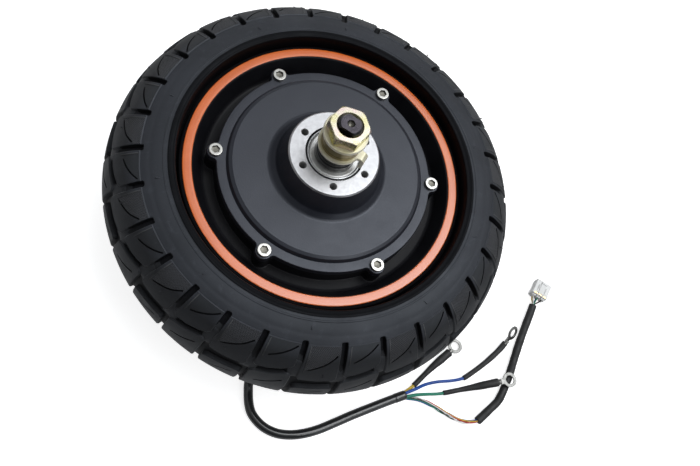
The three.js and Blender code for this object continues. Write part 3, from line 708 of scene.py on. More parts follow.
# painted shade: bearing steel darkened to near black where the inner race sits deep by the axle
RACE_SHADED = metal("bearing_inner_race_shaded", (0.045, 0.045, 0.047), (0.085, 0.085, 0.088),
                  rough=0.3, rings=0.5, metallic=0.8)
SHIELD = metal("shield_steel", (0.52, 0.52, 0.51), (0.64, 0.64, 0.625),
               rough=0.36, rings=0.8, scratch=0.2, metallic=0.75)
BLACK_OXIDE = metal("axle_black_oxide", (0.007, 0.007, 0.008), (0.012, 0.012, 0.013),
                    rough=0.3, rings=0.5, scratch=0.15, wear_and_glint=0.25,
                    edge_color=(0.16, 0.16, 0.16), metallic=0.0)
AXLE_END = metal("axle_end_face", (0.05, 0.045, 0.053), (0.085, 0.077, 0.09),
                 rough=0.3, rings=1.6, metallic=0.9)
# zinc: share along the colour ramp, colour
ZINC = plated("zinc_yellow", [
    (0.22, (0.54, 0.48, 0.16)), (0.34, (0.60, 0.56, 0.34)), (0.44, (0.65, 0.60, 0.48)),
    (0.52, (0.66, 0.53, 0.50)), (0.61, (0.62, 0.56, 0.28)), (0.72, (0.56, 0.50, 0.08)),
    (0.88, (0.30, 0.28, 0.05))], rough=0.24, metallic=0.9)
# partly painted light: a paler, half-diffuse copy of the yellow zinc, so the washers stay bright
# where they would mirror dark parts
ZINC_WASHER_LIT = plated("zinc_washer_lit", [
    (0.25, (0.62, 0.57, 0.36)), (0.45, (0.74, 0.70, 0.54)), (0.62, (0.76, 0.73, 0.64)),
    (0.85, (0.62, 0.54, 0.24))], rough=0.34, rings=0.3, metallic=0.4)
# painted shade and reflection: a dark copy of the yellow zinc, for the collar under the nut and
# the nut's bore
ZINC_SHADED = plated("zinc_yellow_shaded", [
    (0.2, (0.09, 0.075, 0.035)), (0.45, (0.20, 0.17, 0.075)), (0.62, (0.32, 0.26, 0.13)),
    (0.85, (0.16, 0.12, 0.07))], rough=0.36, rings=0.8)
PVC = plastic("cable_pvc", (0.020, 0.021, 0.022), rough=0.16, coat=0.4, bump=0.00001)
SLEEVE = plastic("sleeve_black", (0.014, 0.014, 0.015), rough=0.55, grain=700, bump=0.0001,
                 spec=0.45)
NYLON = plastic("connector_nylon", (0.88, 0.88, 0.87), rough=0.5, light=(0.93, 0.93, 0.92),
                spec=0.35)
# wire insulation: material and the frame slot it belongs to
WIRES = {
    "yellow": (plastic("wire_yellow", (0.62, 0.42, 0.02), rough=0.38), "wire_yellow"),
    "blue": (plastic("wire_blue", (0.003, 0.065, 0.34), rough=0.4), "wire_blue"),
    "green": (plastic("wire_green", (0.002, 0.20, 0.12), rough=0.4), "wire_green"),
    "red": (plastic("wire_red", (0.42, 0.012, 0.012), rough=0.38), "wire_yellow"),
    "white": (plastic("wire_white", (0.70, 0.70, 0.68), rough=0.38), "connector_nylon"),
    "black": (plastic("wire_black", (0.012, 0.012, 0.013), rough=0.38), "cable_pvc"),
}
TINNED = metal("terminal_tinned", (0.20, 0.20, 0.19), (0.30, 0.295, 0.285), rough=0.42)
GOLD = metal("contact_gold", (0.85, 0.58, 0.22), (0.93, 0.70, 0.34), rough=0.25)
VALVE = plastic("valve_metal", (0.016, 0.016, 0.017), rough=0.5)
BRASS = metal("valve_brass", (0.62, 0.45, 0.20), (0.76, 0.58, 0.30), rough=0.3)
CORE = metal("core_steel", (0.26, 0.27, 0.28), (0.40, 0.41, 0.42), rough=0.42, scratch=0.8)
MAGNET = metal("magnet_nickel", (0.60, 0.60, 0.58), (0.74, 0.735, 0.71), rough=0.22)
MAGNET_DARK = metal("magnet_nickel_dark", (0.44, 0.44, 0.43), (0.58, 0.575, 0.555), rough=0.3)
COPPER = metal("winding_copper", (0.60, 0.20, 0.06), (0.78, 0.33, 0.12), rough=0.28)
CAST = metal("cast_aluminium", (0.50, 0.505, 0.51), (0.66, 0.665, 0.67),
             rough=0.52, scratch=1.0, metallic=0.9)
BOARD = plastic("board_green", (0.012, 0.10, 0.045), rough=0.35, coat=0.4)
CHIP = plastic("chip_black", (0.014, 0.014, 0.015), rough=0.45)
LAMINATE = laminate()


# ---------------------------------------------------------------- tyre
# A spot on the tread is (turn, over): degrees round the tyre within one pitch, and degrees
# over its section from the crown. Levels are depths below the section's outer curve.
PITCH = 24.0                    # two lugs, one long and one short
PHASE = 4.6 + 0.2               # direction of the first long slot
TURN_MM, OVER_MM = 2.15, 0.70   # millimetres to a degree of turn and of over
RAISED = 0.55                   # lugs stand this far above the sidewall
STEP_MARKS = (61.4, 60.6)       # the lugs' top steps down between these
SLOT_HALF = 1.15                # half the width of the slots between lugs, in degrees
SHOULDER = 65.5                 # where the tread meets the sidewall
# the groove and bead slots carry painted shade, the raised-line slot a painted highlight
PLAIN, RIBBED, PANEL, GROOVE_SHADE, BEAD, LIT_LINE = range(6)    # the tyre's material slots

# Edge of the two lugs of a pitch: turn, over, corner radius in millimetres
LUG_EDGE = [
    (0, 64.3, 0), (SLOT_HALF, 64.3, 1.7), (1.12, 50, 0), (1.0, 33.2, 0.8), (1.5, 31.6, 0.9),
    (4.5, 32.6, 3), (8, 35.6, 3), (10.2, 38.6, 0.8), (10.85, 41, 0.9),
    (12 - SLOT_HALF, 50, 0), (12 - SLOT_HALF, 64.3, 1.7), (12 + SLOT_HALF, 64.3, 1.7),
    (13.1, 45, 0), (12.95, 29, 0), (13.5, 26.6, 1.0), (18, 26.2, 4), (22.3, 27.4, 1.0),
    (22.95, 29.4, 0.8), (24 - SLOT_HALF, 48, 0), (24 - SLOT_HALF, 64.3, 1.7), (24, 64.3, 0)]
# Centre block, same columns
BLOCK = [
    (0.95, 22.6, 0.7), (0.95, -13.6, 0.5), (1.6, -15.0, 0.7), (10.2, -13.2, 0.7),
    (10.95, -11.6, 0.5), (10.95, 29.0, 0.5), (10.1, 30.4, 0.7), (5.5, 26.4, 4), (1.7, 24.4, 0.7)]
# Curved slits across the short and the long lug; the lugs are textured outside them
SHORT_SLIT = [(3.1, 45.2), (5.6, 48.6), (8.2, 53.4), (10.3, 58.6)]
LONG_SLIT = [(14.6, 37.6), (16.7, 40.4), (19.6, 45.2), (22.3, 52.8)]
# Shallow bridges that tie neighbouring lugs together: turn, lowest over, highest over
BRIDGES = ((12, 25, 49.5), (0, 20, 40), (12, -40, -20), (0, -49.5, -25))
# Sidewall: over, height above the wall
WALL = [(SHOULDER, 0), (67.4, 0), (68.2, -0.08), (70.2, -0.08), (71.1, 0), (74, 0), (77, 0),
        (79.6, 0), (80.1, 0.28), (81.1, 0.28), (81.6, 0), (84, 0)]
# Bead and inside: radius, height from the mid-plane
BEAD_PROFILE = [(97.4, 38.72), (96.9, 38.95), (96.1, 38.95), (95.6, 38.6), (94.4, 38.35),
                (93.9, 38.5), (93.2, 38.3), (92.8, 37.6), (92.6, 36)]
INSIDE = [(92.2, 26.6), (90.2, 25.4), (84.8, 24.2), (83.4, 23.2), (83.2, 17.2), (84.4, 16.2),
          (97, 30.5), (104, 31.6), (111, 30), (117, 25), (122, 18), (125.6, 8)]


def section(over):
    """Point and outward normal of the tread's outer curve, as radius and height."""
    normal = np.array((cosd(over) / 42.1, sind(over) / 39.0))
    return np.array((92.9 + 42.1 * cosd(over), 39.0 * sind(over))), normal / norm(normal)


def lean(over):
    return -1.5 * (1 - over / 60.0)


def tread_point(cell, turn, over, level):
    point, normal = section(over)
    radius, z = point - normal * level
    return polar(radius, cell * PITCH + PHASE + turn + lean(over), MID + z)


def land_level(turn, over):
    """The lugs' top surface steps down to the sidewall."""
    return RAISED * min(1.0, max(0.0, (abs(over) - 60.6) / 0.8))


def floor_level(turn, over):
    """Depth of the grooves, with their bridges; slots run out at the sidewall."""
    away = abs(over)
    depth = 3.0
    if away >= 42:
        depth += min(1.0, (away - 42) / 8.0) * min(1.0, (64.3 - away) / 5.0)
    if away < 22:
        depth -= 0.3 * (1 - away / 22)

    def rise(middle, low, high):
        distance = abs((turn - middle + 12) % 24 - 12)
        across = min(1.0, max(0.0, (3.0 - distance) / 0.8))
        end = min(1.0, max(0.0, (over - low) / 6.0), max(0.0, (high - over) / 6.0))
        return 2.1 * across * end * (2 - end)
    return depth - max(rise(*row) for row in BRIDGES)


def metric(spots):
    return [(turn * TURN_MM, over * OVER_MM, *rest) for turn, over, *rest in spots]


def unmetric(spots):
    return [(x / TURN_MM, y / OVER_MM) for x, y in spots]


def sided(spots, side):
    """The lower half of the tread is the upper half turned about the pitch's middle."""
    return spots if side > 0 else [(24 - turn, -over) for turn, over in spots]


def dense(spots, closed, marks=()):
    """Adds spots at least every 1.6 mm, and where the outline crosses a marked over."""
    if closed:
        spots = spots + spots[:1]
    out = []
    for start, end in zip(map(np.array, spots), map(np.array, spots[1:])):
        step = end - start
        count = max(1, int(ceil(norm(step * (TURN_MM, OVER_MM)) / 1.6)))
        shares = list(np.linspace(0, 1, count, endpoint=False))
        shares += [(mark - start[1]) / (end[1] - start[1]) for mark in marks
                   if (start[1] - mark) * (end[1] - mark) < -1e-9]
        out += [tuple(start + step * share)
                for share in sorted(set(round(float(share), 9) for share in shares))]
    if not closed:
        out.append(tuple(spots[-1]))
    return out


def slit(stations, width=1.0):
    """Outline of a narrow cut along a curve, tapered at its first end."""
    line = catmull([(*spot, 0) for spot in metric(stations)], 12)[:, :2]
    tangent = np.gradient(line, axis=0)
    tangent /= norm(tangent, axis=1)[:, None]
    taper = np.ones(len(line))
    taper[:3] = [0.45 + 0.55 * sin(pi * (k + 0.5) / 5) for k in range(3)]
    across = np.stack([tangent[:, 1], -tangent[:, 0]], 1) * (taper * width / 2)[:, None]
    return unmetric([*(line + across), *(line - across)[::-1]])


def inner_spots(loops, turn_step=1.35, over_step=3.8, gap=0.75):
    """Staggered grid of spots that keep at least gap millimetres from the loops' edges."""
    segments = np.array([pair for loop in map(metric, loops)
                         for pair in zip(loop, loop[1:] + loop[:1])])
    start, step = segments[:, 0], segments[:, 1] - segments[:, 0]
    overs = [over for loop in loops for _, over in loop]
    out = []
    for row, over in enumerate(np.arange(min(overs) + over_step / 2, max(overs), over_step)):
        for turn in np.arange(0.4 + (row % 2) * turn_step / 2, 24, turn_step):
            spot = np.array((turn * TURN_MM, over * OVER_MM))
            length2 = np.maximum((step * step).sum(1), 1e-12)
            share = np.clip(((spot - start) * step).sum(1) / length2, 0, 1)
            if norm(start + step * share[:, None] - spot, axis=1).min() > gap:
                out.append((float(turn), float(over)))
    return out


def lug_top(part, lay, outline, ids, slits, inner, slot=PLAIN, edge=()):
    """Fills a lug's top and sinks its slits, given as (spots, depth).

    Where edge, the first part of the outline, crosses a step mark, lines join the crossings.
    """
    mouths = [lay(spots, land_level) for spots, _ in slits]
    loops = [outline, *(spots for spots, _ in slits)]
    uv = sum(loops, []) + inner
    ids = ids + sum(mouths, []) + lay(inner, land_level)
    lines = []
    for mark in STEP_MARKS:
        crossings = sorted((i for i, (_, over) in enumerate(edge)
                            if abs(abs(over) - mark) < 1e-6), key=lambda i: edge[i][0])
        for a, b in zip(crossings[0::2], crossings[1::2]):
            (start, over), end = edge[a], edge[b][0]
            if abs(start - end) < 11:
                between = [(start + (end - start) * k / 6, over) for k in range(1, 6)]
                lines.append([a, *range(len(uv), len(uv) + 5), b])
                uv += between
                ids += lay(between, land_level)
    part.fill(metric(uv), numbered(loops), ids, slot, lines)
    for (spots, depth), mouth in zip(slits, mouths):
        low = lay(spots, lambda turn, over: land_level(turn, over) + depth)
        # sunk slit walls take the painted-shade groove rubber, raised lines the
        # painted-highlight rubber
        wall_slot = GROOVE_SHADE if depth > 0 else LIT_LINE
        part.bridge(mouth, low, wall_slot)
        part.fill(metric(spots), numbered([spots]), low, wall_slot)


def land_slot(side):
    """Chooses the texture of a lug's top from a triangle's centre."""
    def slot(centre):
        turn, over = sided(unmetric([centre]), side)[0]
        if 13.9 < turn < 22.9 and 60.7 > over > np.interp(turn, *zip(*LONG_SLIT)):
            return RIBBED
        if 1.9 < turn < 10.9 and 60.7 > over > np.interp(turn, *zip(*SHORT_SLIT)):
            return PANEL
        return PLAIN
    return slot


# deep groove floors take the painted-shade groove rubber
def floor_slot(centre):
    return GROOVE_SHADE if floor_level(*unmetric([centre])[0]) > 1.7 else PLAIN


def tread(part):
    # each outline three times: at the top, part way down and at the groove's floor
    edge = dense(unmetric(fillet_rows(metric(LUG_EDGE), 3)), False, STEP_MARKS)
    edges = [edge, *(unmetric(offset(metric(edge), out, closed=False)) for out in (0.36, 0.8))]
    block = dense(unmetric(fillet_rows(metric(BLOCK), 3, closed=True)), True)
    blocks = [block, *(unmetric(offset(metric(block), out)) for out in (0.5, 0.8))]
    shoulder = [(24.0, 64.9), *((2.0 * k, SHOULDER) for k in range(12, -1, -1)), (0.0, 64.9)]
    # slits and their depth; a negative depth is a raised line in painted-highlight rubber
    land_slits = [
        (slit(SHORT_SLIT), 1.8), (slit(LONG_SLIT), 1.8),
        (slit([(1.95, 42.5), (1.97, 48), (1.99, 54), (2.0, 60)], 0.62), -0.3),
        (slit([(13.95, 35.5), (13.97, 44), (13.98, 52), (14.0, 60)], 0.62), -0.3)]
    block_slits = [(slit([(3.0, 10.5), (6.0, 14.5), (9.6, 21.5)]), 1.7),
                   (slit([(2.6, -9.5), (5.2, -6.6), (8.4, -0.5)], 0.8), 1.7)]
    right = [(24.0, over) for over in np.arange(60, -61, -4.0)]
    left = [(0.0, over) for _, over in right[::-1]]
    floor_loops = [edges[2] + right + sided(edges[2], -1) + left,
                   blocks[2], sided(blocks[2], -1)]
    land_inner = inner_spots([edge + shoulder, *(spots for spots, _ in land_slits)])
    block_inner = inner_spots([block, *(spots for spots, _ in block_slits)])
    floor_inner = inner_spots(floor_loops, turn_step=1.6, over_step=4.4, gap=0.9)

    for cell in range(15):
        def lay(spots, level):
            return part.ring([tread_point(cell, turn, over, level(turn, over))
                              for turn, over in spots])
        edge_feet, block_feet = [], []
        for side in (1, -1):
            top, middle, low = (sided(spots, side) for spots in edges)
            top_ring = lay(top, land_level)
            middle_ring = part.ring([tread_point(cell, *spot, land_level(*above) + 0.3)
                                     for spot, above in zip(middle, top)])
            low_ring = lay(low, floor_level)
            part.bridge(top_ring, middle_ring, closed=False)
            # deep groove walls take the painted-shade groove rubber
            part.bridge(middle_ring, low_ring, lambda i: GROOVE_SHADE if (
                floor_level(*low[i]) > 2.2 and abs(low[i][1]) > 24) else PLAIN, closed=False)
            edge_feet.append(low_ring)
            rim_spots = sided(shoulder, side)
            lug_top(part, lay, top + rim_spots, top_ring + lay(rim_spots, land_level),
                    [(sided(spots, side), depth) for spots, depth in land_slits],
                    sided(land_inner, side), land_slot(side), edge=top)

            top, middle, low = (sided(spots, side) for spots in blocks)
            rings = [lay(top, land_level), lay(middle, lambda turn, over: 0.42),
                     lay(low, floor_level)]
            part.loft(rings)
            block_feet.append(rings[2])
            lug_top(part, lay, top, rings[0],
                    [(sided(spots, side), depth) for spots, depth in block_slits],
                    sided(block_inner, side))
        ids = edge_feet[0] + lay(right, floor_level) + edge_feet[1] + lay(left, floor_level)
        ids += block_feet[0] + block_feet[1] + lay(floor_inner, floor_level)
        part.fill(metric(sum(floor_loops, []) + floor_inner), numbered(floor_loops), ids,
                  floor_slot)


def wall_point(over, out=0.0):
    point, normal = section(over)
    return tuple(point - normal * (RAISED - out))


def sidewalls(part):
    """Sidewalls, beads and the inside, turned as rings that meet the tread's edges."""
    wall = [wall_point(*row) for row in WALL] + BEAD_PROFILE
    half = wall + INSIDE
    profile = raised(half + [(126.5, 0)] + mirrored(half), MID)
    upper, lower = lean(SHOULDER), lean(-SHOULDER)
    inside = 2 * len(INSIDE) + 1
    twist = [upper] * len(wall)
    twist += [upper + (lower - upper) * (i + 1) / (inside + 1) for i in range(inside)]
    twist += [lower] * len(wall)

    # the bead rings take the near-black rubber that paints the shade beside the rim lip
    def slot(k):
        return BEAD if max(profile[k][0], profile[k + 1][0]) < 97.5 else PLAIN
    part.revolve(profile, [PHASE + 2.0 * i for i in range(180)], False, slot, twist)


def wall_bar(part, radius, angle, z, skew, side):
    """A small raised bar on the sidewall."""
    bar = Shape()
    outline = rounded_rect(3.0, 0.8, 0.8 * 0.48)
    low = bar.ring([(x, y, -0.6) for x, y in outline])
    middle = bar.ring([(x, y, 0.45 * 0.55) for x, y in outline])
    high = bar.ring([(x * 0.8, y * 0.6, 0.45) for x, y in outline])
    bar.loft([low, middle, high])
    bar.face(high)
    bar.face(low[::-1])
    part.add(bar, Matrix.Translation(polar(radius, angle, z))
             @ Matrix.Rotation((angle + skew) * DEGREE, 4, "Z")
             @ Matrix.Rotation(0 if side > 0 else pi, 4, "X"))


def moulding_marks(part):
    """Raised bars on the sidewall and thin rubber nibs on the tread."""
    rng = np.random.default_rng(7)

    def draw(low, high):
        return float(rng.uniform(low, high))
    for side in (1, -1):
        radius, z = wall_point(75.0)
        for angle in np.arange(6, 366, 36.0):
            wall_bar(part, radius, angle + draw(-5, 5), MID + side * z, draw(-35, 35), side)
        for k in range(15):
            angle = PHASE + 24 * k + draw(14.5, 21.5)
            over = draw(30, 42)
            point, normal = section(over)
            angle += lean(over)
            root, tip = point - 0.4 * normal, point + draw(0.7, 1.9) * normal
            start = np.array(polar(root[0], angle, MID + side * root[1]))
            end = np.array(polar(tip[0], angle + draw(-0.6, 0.6), MID + side * tip[1]))
            end[2] += draw(-0.4, 0.4)
            bend = (start + end) / 2 + (0.1, 0, 0.15)
            part.tube(catmull([start, bend, end], 4), lambda share: 0.42 - 0.16 * share,
                      sides=7, round_end=0.05)


def tyre():
    part = Shape()
    tread(part)
    sidewalls(part)
    moulding_marks(part)
    piece("tyre_moulding", part,
          [RUBBER, RUBBER_RIB, RUBBER_PANEL, RUBBER_GROOVE_SHADED, RUBBER_BEAD_SHADED, RUBBER_LINE_LIT],
          WHEEL, "tyre_rubber", "tyre", sharp=28, weighted=False)


# ---------------------------------------------------------------- rim and covers
SCREW_CIRCLE, FIRST_SCREW = 69.36, 50.0
SCREWS = [polar_xy(SCREW_CIRCLE, FIRST_SCREW + 60 * i) for i in range(6)]
DRUM_RADIUS, LOBE_RADIUS, LOBE_FILLET = 68.6, 5.4, 2.4
LEDGE = 33.8              # height of the screws' seats from the mid-plane
COVER_FOOT = 29.05
VALVE_ANGLE = 80


def lobed():
    """Outline of the drum with a lobe round each cover screw: points and outward normals."""
    reach, apart = DRUM_RADIUS + LOBE_FILLET, LOBE_RADIUS + LOBE_FILLET
    phi = acos((reach * reach + SCREW_CIRCLE * SCREW_CIRCLE - apart * apart)
               / (2 * reach * SCREW_CIRCLE))
    hollow = np.array((reach * cos(phi), reach * sin(phi)))    # centre of the fillet
    lobe = np.array((SCREW_CIRCLE, 0.0))
    beta = atan2(*(hollow - lobe)[::-1])
    to_axis = atan2(-hollow[1], -hollow[0])
    to_lobe = atan2(*(lobe - hollow)[::-1])
    sweep = (to_axis - to_lobe + pi) % (2 * pi) - pi
    half = []

    def arc(centre, radius, turn, facing=1):
        way = np.array((cos(turn), sin(turn)))
        half.append((centre + radius * way, facing * way))
    for k in range(9):               # from the lobe's crown
        arc(lobe, LOBE_RADIUS, beta * k / 8)
    for k in range(1, 5):
        arc(hollow, LOBE_FILLET, to_lobe + sweep * k / 4, -1)
    for k in range(1, 13):
        arc(0, DRUM_RADIUS, phi + (pi / 6 - phi) * k / 12)
    flip = np.array((1, -1))
    sector = [(point * flip, normal * flip) for point, normal in half[:0:-1]][1:] + half
    points, normals = [], []
    for i in range(6):
        turn = (FIRST_SCREW + 60 * i) * DEGREE
        rotation = np.array(((cos(turn), -sin(turn)), (sin(turn), cos(turn))))
        points += [rotation @ point for point, _ in sector]
        normals += [rotation @ normal for _, normal in sector]
    return np.array(points), np.array(normals)


LOBED, LOBED_NORMALS = lobed()
LOBED_ANGLES = [atan2(y, x) / DEGREE for x, y in LOBED]


def station_ring(part, station, side):
    """("L", inset, height) follows the lobed outline; (radius, height) is a circle."""
    z = MID + side * station[-1]
    if station[0] == "L":
        return part.ring([(x, y, z) for x, y in LOBED - LOBED_NORMALS * station[1]])
    return part.ring([polar(station[0], angle, z) for angle in LOBED_ANGLES])


def rim():
    part = Shape()
    # barrel and flange: radius, height, corner radius
    outer = fillet_rows([
        (78.0, 0.0, 0), (78, 11, 5), (82.55, 15.2, 3), (82.55, 24.2, 1.6), (90, 26, 1.2),
        (91.2, 28, 1.1), (90.6, 30.5, 0.9), (82.75, 30.5, 0.12), (82.15, 29.9, 0.25),
        (76, 19, 3.0), (72.5, 19, 0)])
    drum = [("L", -0.9, 19.0), ("L", -0.35, 19.2), ("L", -0.08, 19.7), ("L", 0.0, 20.4),
            ("L", 0.0, 28.55), ("L", 0.12, 28.85), ("L", 0.4, 29.0)]
    half = [*outer, *drum, (65.4, 29.0), (65.0, 28.6)]
    up = [station_ring(part, station, 1) for station in half]
    down = [station_ring(part, station, -1) for station in half[1:]]
    part.loft(up + down[::-1], closed=True)

    cutter = Shape()
    for side in (1, -1):
        low, high = sorted((MID + side * 19.5, MID + side * 30))
        for x, y in SCREWS:
            cutter.plate(circle(2.8, 20, x, y), [], low, high, 0.05)
    hole = straight(polar(72.2, VALVE_ANGLE, MID - 40.2), polar(81.3, VALVE_ANGLE, MID + 0.5),
                    (0, 0.33, 0.66, 1))
    cutter.tube(hole, 4.15, sides=32, round_end=0.05)
    mesh = boolean(part.mesh("rim_casting"), cutter)

    def slot(radius, z):
        away = abs(z - MID)
        # the chamfer inside the stripe takes the lighter edge metal, in part a painted highlight
        if 81.9 < radius < 82.85 and away > 29.2:
            return 2
        # the lip takes the darkened black that paints the shade by the tyre
        if radius > 83 and away > 26.5:
            return 3
        # the recessed dish and drum take the painted-shade black
        return 1 if radius < 77.5 and away > 5 else 0
    by_place(mesh, slot)
    piece("rim_casting", mesh, [RIM_GLOSS, RIM_DISH_SHADED, RIM_EDGE_HIGHLIGHT, RIM_LIP_SHADED], WHEEL,
          "rim_gloss_black", "rim", sharp=34)


def stripe(name, side):
    profile = [(82.95, 30.52), (88.45, 30.52), (88.5, 30.72), (88.05, 30.93), (86.8, 31.0),
               (84.6, 31.0), (83.35, 30.95), (82.9, 30.74)]
    lathe("stripe_band_" + name, raised(profile, MID, side), ORANGE, WHEEL, "stripe_orange",
          "stripe_ring_" + name, count=240, rounds=0.12, steps=2)


def tapped_hole(part, x, y, top, side, slot):
    """A ridged blind hole: returns its clockwise mouth for the face around it."""
    radius, chamfer, depth = 2.1, 0.35, 9.2

    def loop(reach, z):
        return part.ring([(px, py, MID + side * z)
                          for px, py in circle(reach, 20, x, y, clockwise=True)])
    z = top - chamfer
    rings = [loop(radius + chamfer, top), loop(radius, z)]
    while z > top - depth:
        z -= 0.4
        rings.append(loop(radius - 0.16, z))
        z -= 0.4
        rings.append(loop(radius, z))
    part.loft(rings, slot)
    part.peak(rings[-1], (x, y, MID + side * (z - radius * 0.6)), slot)
    return rings[0]


# Outer face of a cover from the screw ledge to the hub: radius, height, corner radius
FACE_START = [(63.6, LEDGE, 0), (62.7, LEDGE, 0.35), (61.4, 36.1, 0.9), (59.3, 37.0, 1.2)]
FACES = {
    "brake": FACE_START + [(37.0, 37.0, 4.2), (33.2, 40.0, 2.6), (28.45, 54.2, 0.25),
                           (27.6, 55.1, 0.25), (27.0, 55.1, 0)],
    "cable": FACE_START + [(36.0, 37.0, 4.2), (32.5, 38.6, 2.6), (27.0, 45.2, 0.5),
                           (25.9, 45.9, 0.4), (25.0, 45.9, 0)]}
# Bearing bore and inner face of a cover: radius, height
BORE_END = [(58.5, 32.2), (60.5, 27.2), (64.9, 27.2), (64.9, COVER_FOOT)]
BORES = {
    "brake": [(18.15, 55.1), (17.95, 54.95), (17.9, 53.2), (17.45, 52.9), (17.5, 44.08),
              (15.6, 44.08), (15.6, 41.6), (23.5, 41.6), (29.5, 32.2)] + BORE_END,
    "cable": [(18.15, 45.9), (17.95, 45.75), (17.9, 44.6), (17.45, 44.3), (17.5, 34.98),
              (15.6, 34.98), (15.6, 32.2), (28, 32.2), (44, 32.2)] + BORE_END}
COVER_WALL = [("L", 0.35, COVER_FOOT), ("L", 0.1, 29.15), ("L", 0.0, 29.4), ("L", 0.0, 32.9),
              ("L", 0.16, 33.4), ("L", 0.45, 33.7), ("L", 0.85, LEDGE)]


def cover(name, side):
    part = Shape()
    face_profile = fillet_rows(FACES[name], 5)
    wall = [station_ring(part, station, side) for station in COVER_WALL]
    part.loft(wall)
    face = [station_ring(part, station, side) for station in face_profile]
    part.loft(face, lambda k: 1 if side > 0 and face_profile[k][0] < 28.6 else 0)
    bore = [station_ring(part, station, side) for station in BORES[name]]
    # the bore's mouth takes the painted-shade black, the rest the bare casting
    part.loft(bore, lambda k: 4 if k < 3 else 2)
    mouths, feet = [], []
    for x, y in SCREWS:
        hole = circle(2.85, 20, x, y, clockwise=True)
        for rings, height in ((mouths, LEDGE), (feet, COVER_FOOT)):
            rings.append(part.ring([(px, py, MID + side * height) for px, py in hole]))
        part.bridge(mouths[-1], feet[-1], 2)
    part.flat([wall[-1], face[0], *mouths], 0)
    part.flat([wall[0], bore[-1], *feet], 2)
    # hub face, with tapped holes on the brake side
    holes = []
    if side > 0:
        holes = [tapped_hole(part, *polar_xy(22, 20.4 + 60 * i), 55.1, side, 3)
                 for i in range(6)]
    part.flat([face[-1], bore[0], *holes], 1)
    piece("cover_casting_" + name, part, [COVER, BARE if side > 0 else COVER, CAST, THREAD,
          RECESS_SHADED], WHEEL, "cover_charcoal", "cover_" + name, sharp=30)


def screws():
    """Low cylinder heads with a hexagon socket, seated at z = 0."""
    screw = Shape()
    profile = fillet_rows([(2.5, -13.0, 0), (2.5, -0.02, 0), (4.2, 0.0, 0.12),
                           (4.2, 2.15, 0.5), (3.55, 2.15, 0)])
    rings = screw.revolve(profile, angles(48), closed=False)
    screw.peak(rings[0][::-1], (0, 0, -13.4))
    hexagon = [polar_xy(2.2 / cosd((angle + 30) % 60 - 30) * 0.985, angle)
               for angle in angles(24)][::-1]
    mouth = screw.ring([(x * 1.09, y * 1.09, 2.15) for x, y in hexagon])
    high, low = (screw.ring([(x, y, z) for x, y in hexagon]) for z in (1.95, 0.75))
    screw.bridge(mouth, high, 0)
    screw.bridge(high, low, 1)
    screw.peak(low, (0, 0, 0.45), 1)
    screw.flat([rings[-1], mouth], 0)
    for name, side in SIDES:
        facing = Matrix.Rotation(pi, 4, "X") if side < 0 else Matrix.Identity(4)
        for i, (x, y) in enumerate(SCREWS):
            place = (Matrix.Translation((x, y, MID + side * LEDGE)) @ facing
                     @ Matrix.Rotation((17 + 41 * i) * DEGREE, 4, "Z"))
            piece(f"cover_bolt_{name}_{i + 1}", screw.moved(place), [STAINLESS, SOCKET], WHEEL,
                  "screw_stainless", f"cover_screw_{name}_{i + 1}")


# ---------------------------------------------------------------- bearings
BEARING_HEIGHTS = {"brake": MID + 49.6, "cable": MID - 40.5}
# Bearing rings: radius, height away from the wheel's middle
OUTER_RACE = [
    (15.75, -5.4), (17.1, -5.45), (17.38, -5.1), (17.38, 3.6), (17.1, 3.9), (17.05, 5.2),
    (16.8, 5.45), (16.35, 5.5), (16.05, 5.35), (15.95, 4.35), (15.55, 4.2), (15.4, 3.1),
    (15.75, 1.9), (16.0, 0), (15.75, -1.9), (15.4, -3.1), (15.4, -4.4), (15.7, -4.6)]
INNER_RACE = [
    (7.56, -5.2), (7.9, -5.48), (9.4, -5.48), (9.5, -3.0), (9.25, -1.9), (9.0, 0),
    (9.25, 1.9), (9.5, 3.0), (9.4, 5.48), (7.9, 5.48), (7.56, 5.2)]
SHIELD_PROFILE = [
    (10.85, 4.35), (11.2, 4.22), (12.4, 4.22), (12.75, 4.5), (14.7, 4.5), (15.1, 4.2),
    (15.65, 4.2), (15.7, 4.45), (15.3, 4.62), (14.8, 4.8), (12.6, 4.8), (12.2, 4.55),
    (11.1, 4.55), (10.85, 4.6)]
BALL_RADIUS, BALL_CIRCLE = 2.95, 12.5


def cage_lift(angle):
    """Height of the ribbon cage, which waves round the balls."""
    wave = abs(((angle / 45.0) % 1) - 0.5) * 2    # 0 midway between balls, 1 at a ball
    return 0.02 + 3.1 * max(0.0, cos((1 - wave) * 2.1)) if wave > 0.25 else 0.02


def bearing(name, side):
    middle = BEARING_HEIGHTS[name]
    lathe("bearing_race_outer_" + name, raised(OUTER_RACE, middle, side), BEARING, WHEEL,
          "bearing_steel", "bearing_outer_" + name, rounds=0.16)
    lathe("bearing_race_inner_" + name, raised(INNER_RACE, middle, side), RACE_SHADED, AXLE,
          "bearing_steel", "bearing_inner_" + name, count=72, rounds=0.14)
    part = Shape()
    for i in range(8):
        x, y, z = Vector(polar(BALL_CIRCLE, 45 * i, middle))
        rings = []
        for k in range(1, 12):
            reach, drop = BALL_RADIUS * sin(pi * k / 12), BALL_RADIUS * cos(pi * k / 12)
            rings.append(part.ring([(x + reach * cosd(angle), y + reach * sind(angle), z - drop)
                                    for angle in angles(20)]))
        part.loft(rings)
        part.peak(rings[0][::-1], (x, y, z - BALL_RADIUS))
        part.peak(rings[-1], (x, y, z + BALL_RADIUS))
    for facing in (1, -1):
        rings = [part.ring([polar(radius, angle, middle + facing * (cage_lift(angle) + height))
                            for angle in angles(96)])
                 for radius, height in ((11.6, 0), (13.4, 0), (13.4, 0.35), (11.6, 0.35))]
        part.loft(rings, 1, closed=True)
    piece("ball_set_" + name, part, [BEARING, BRASS], "balls_" + name, "bearing_steel",
          "balls_" + name, sharp=50, weighted=False)


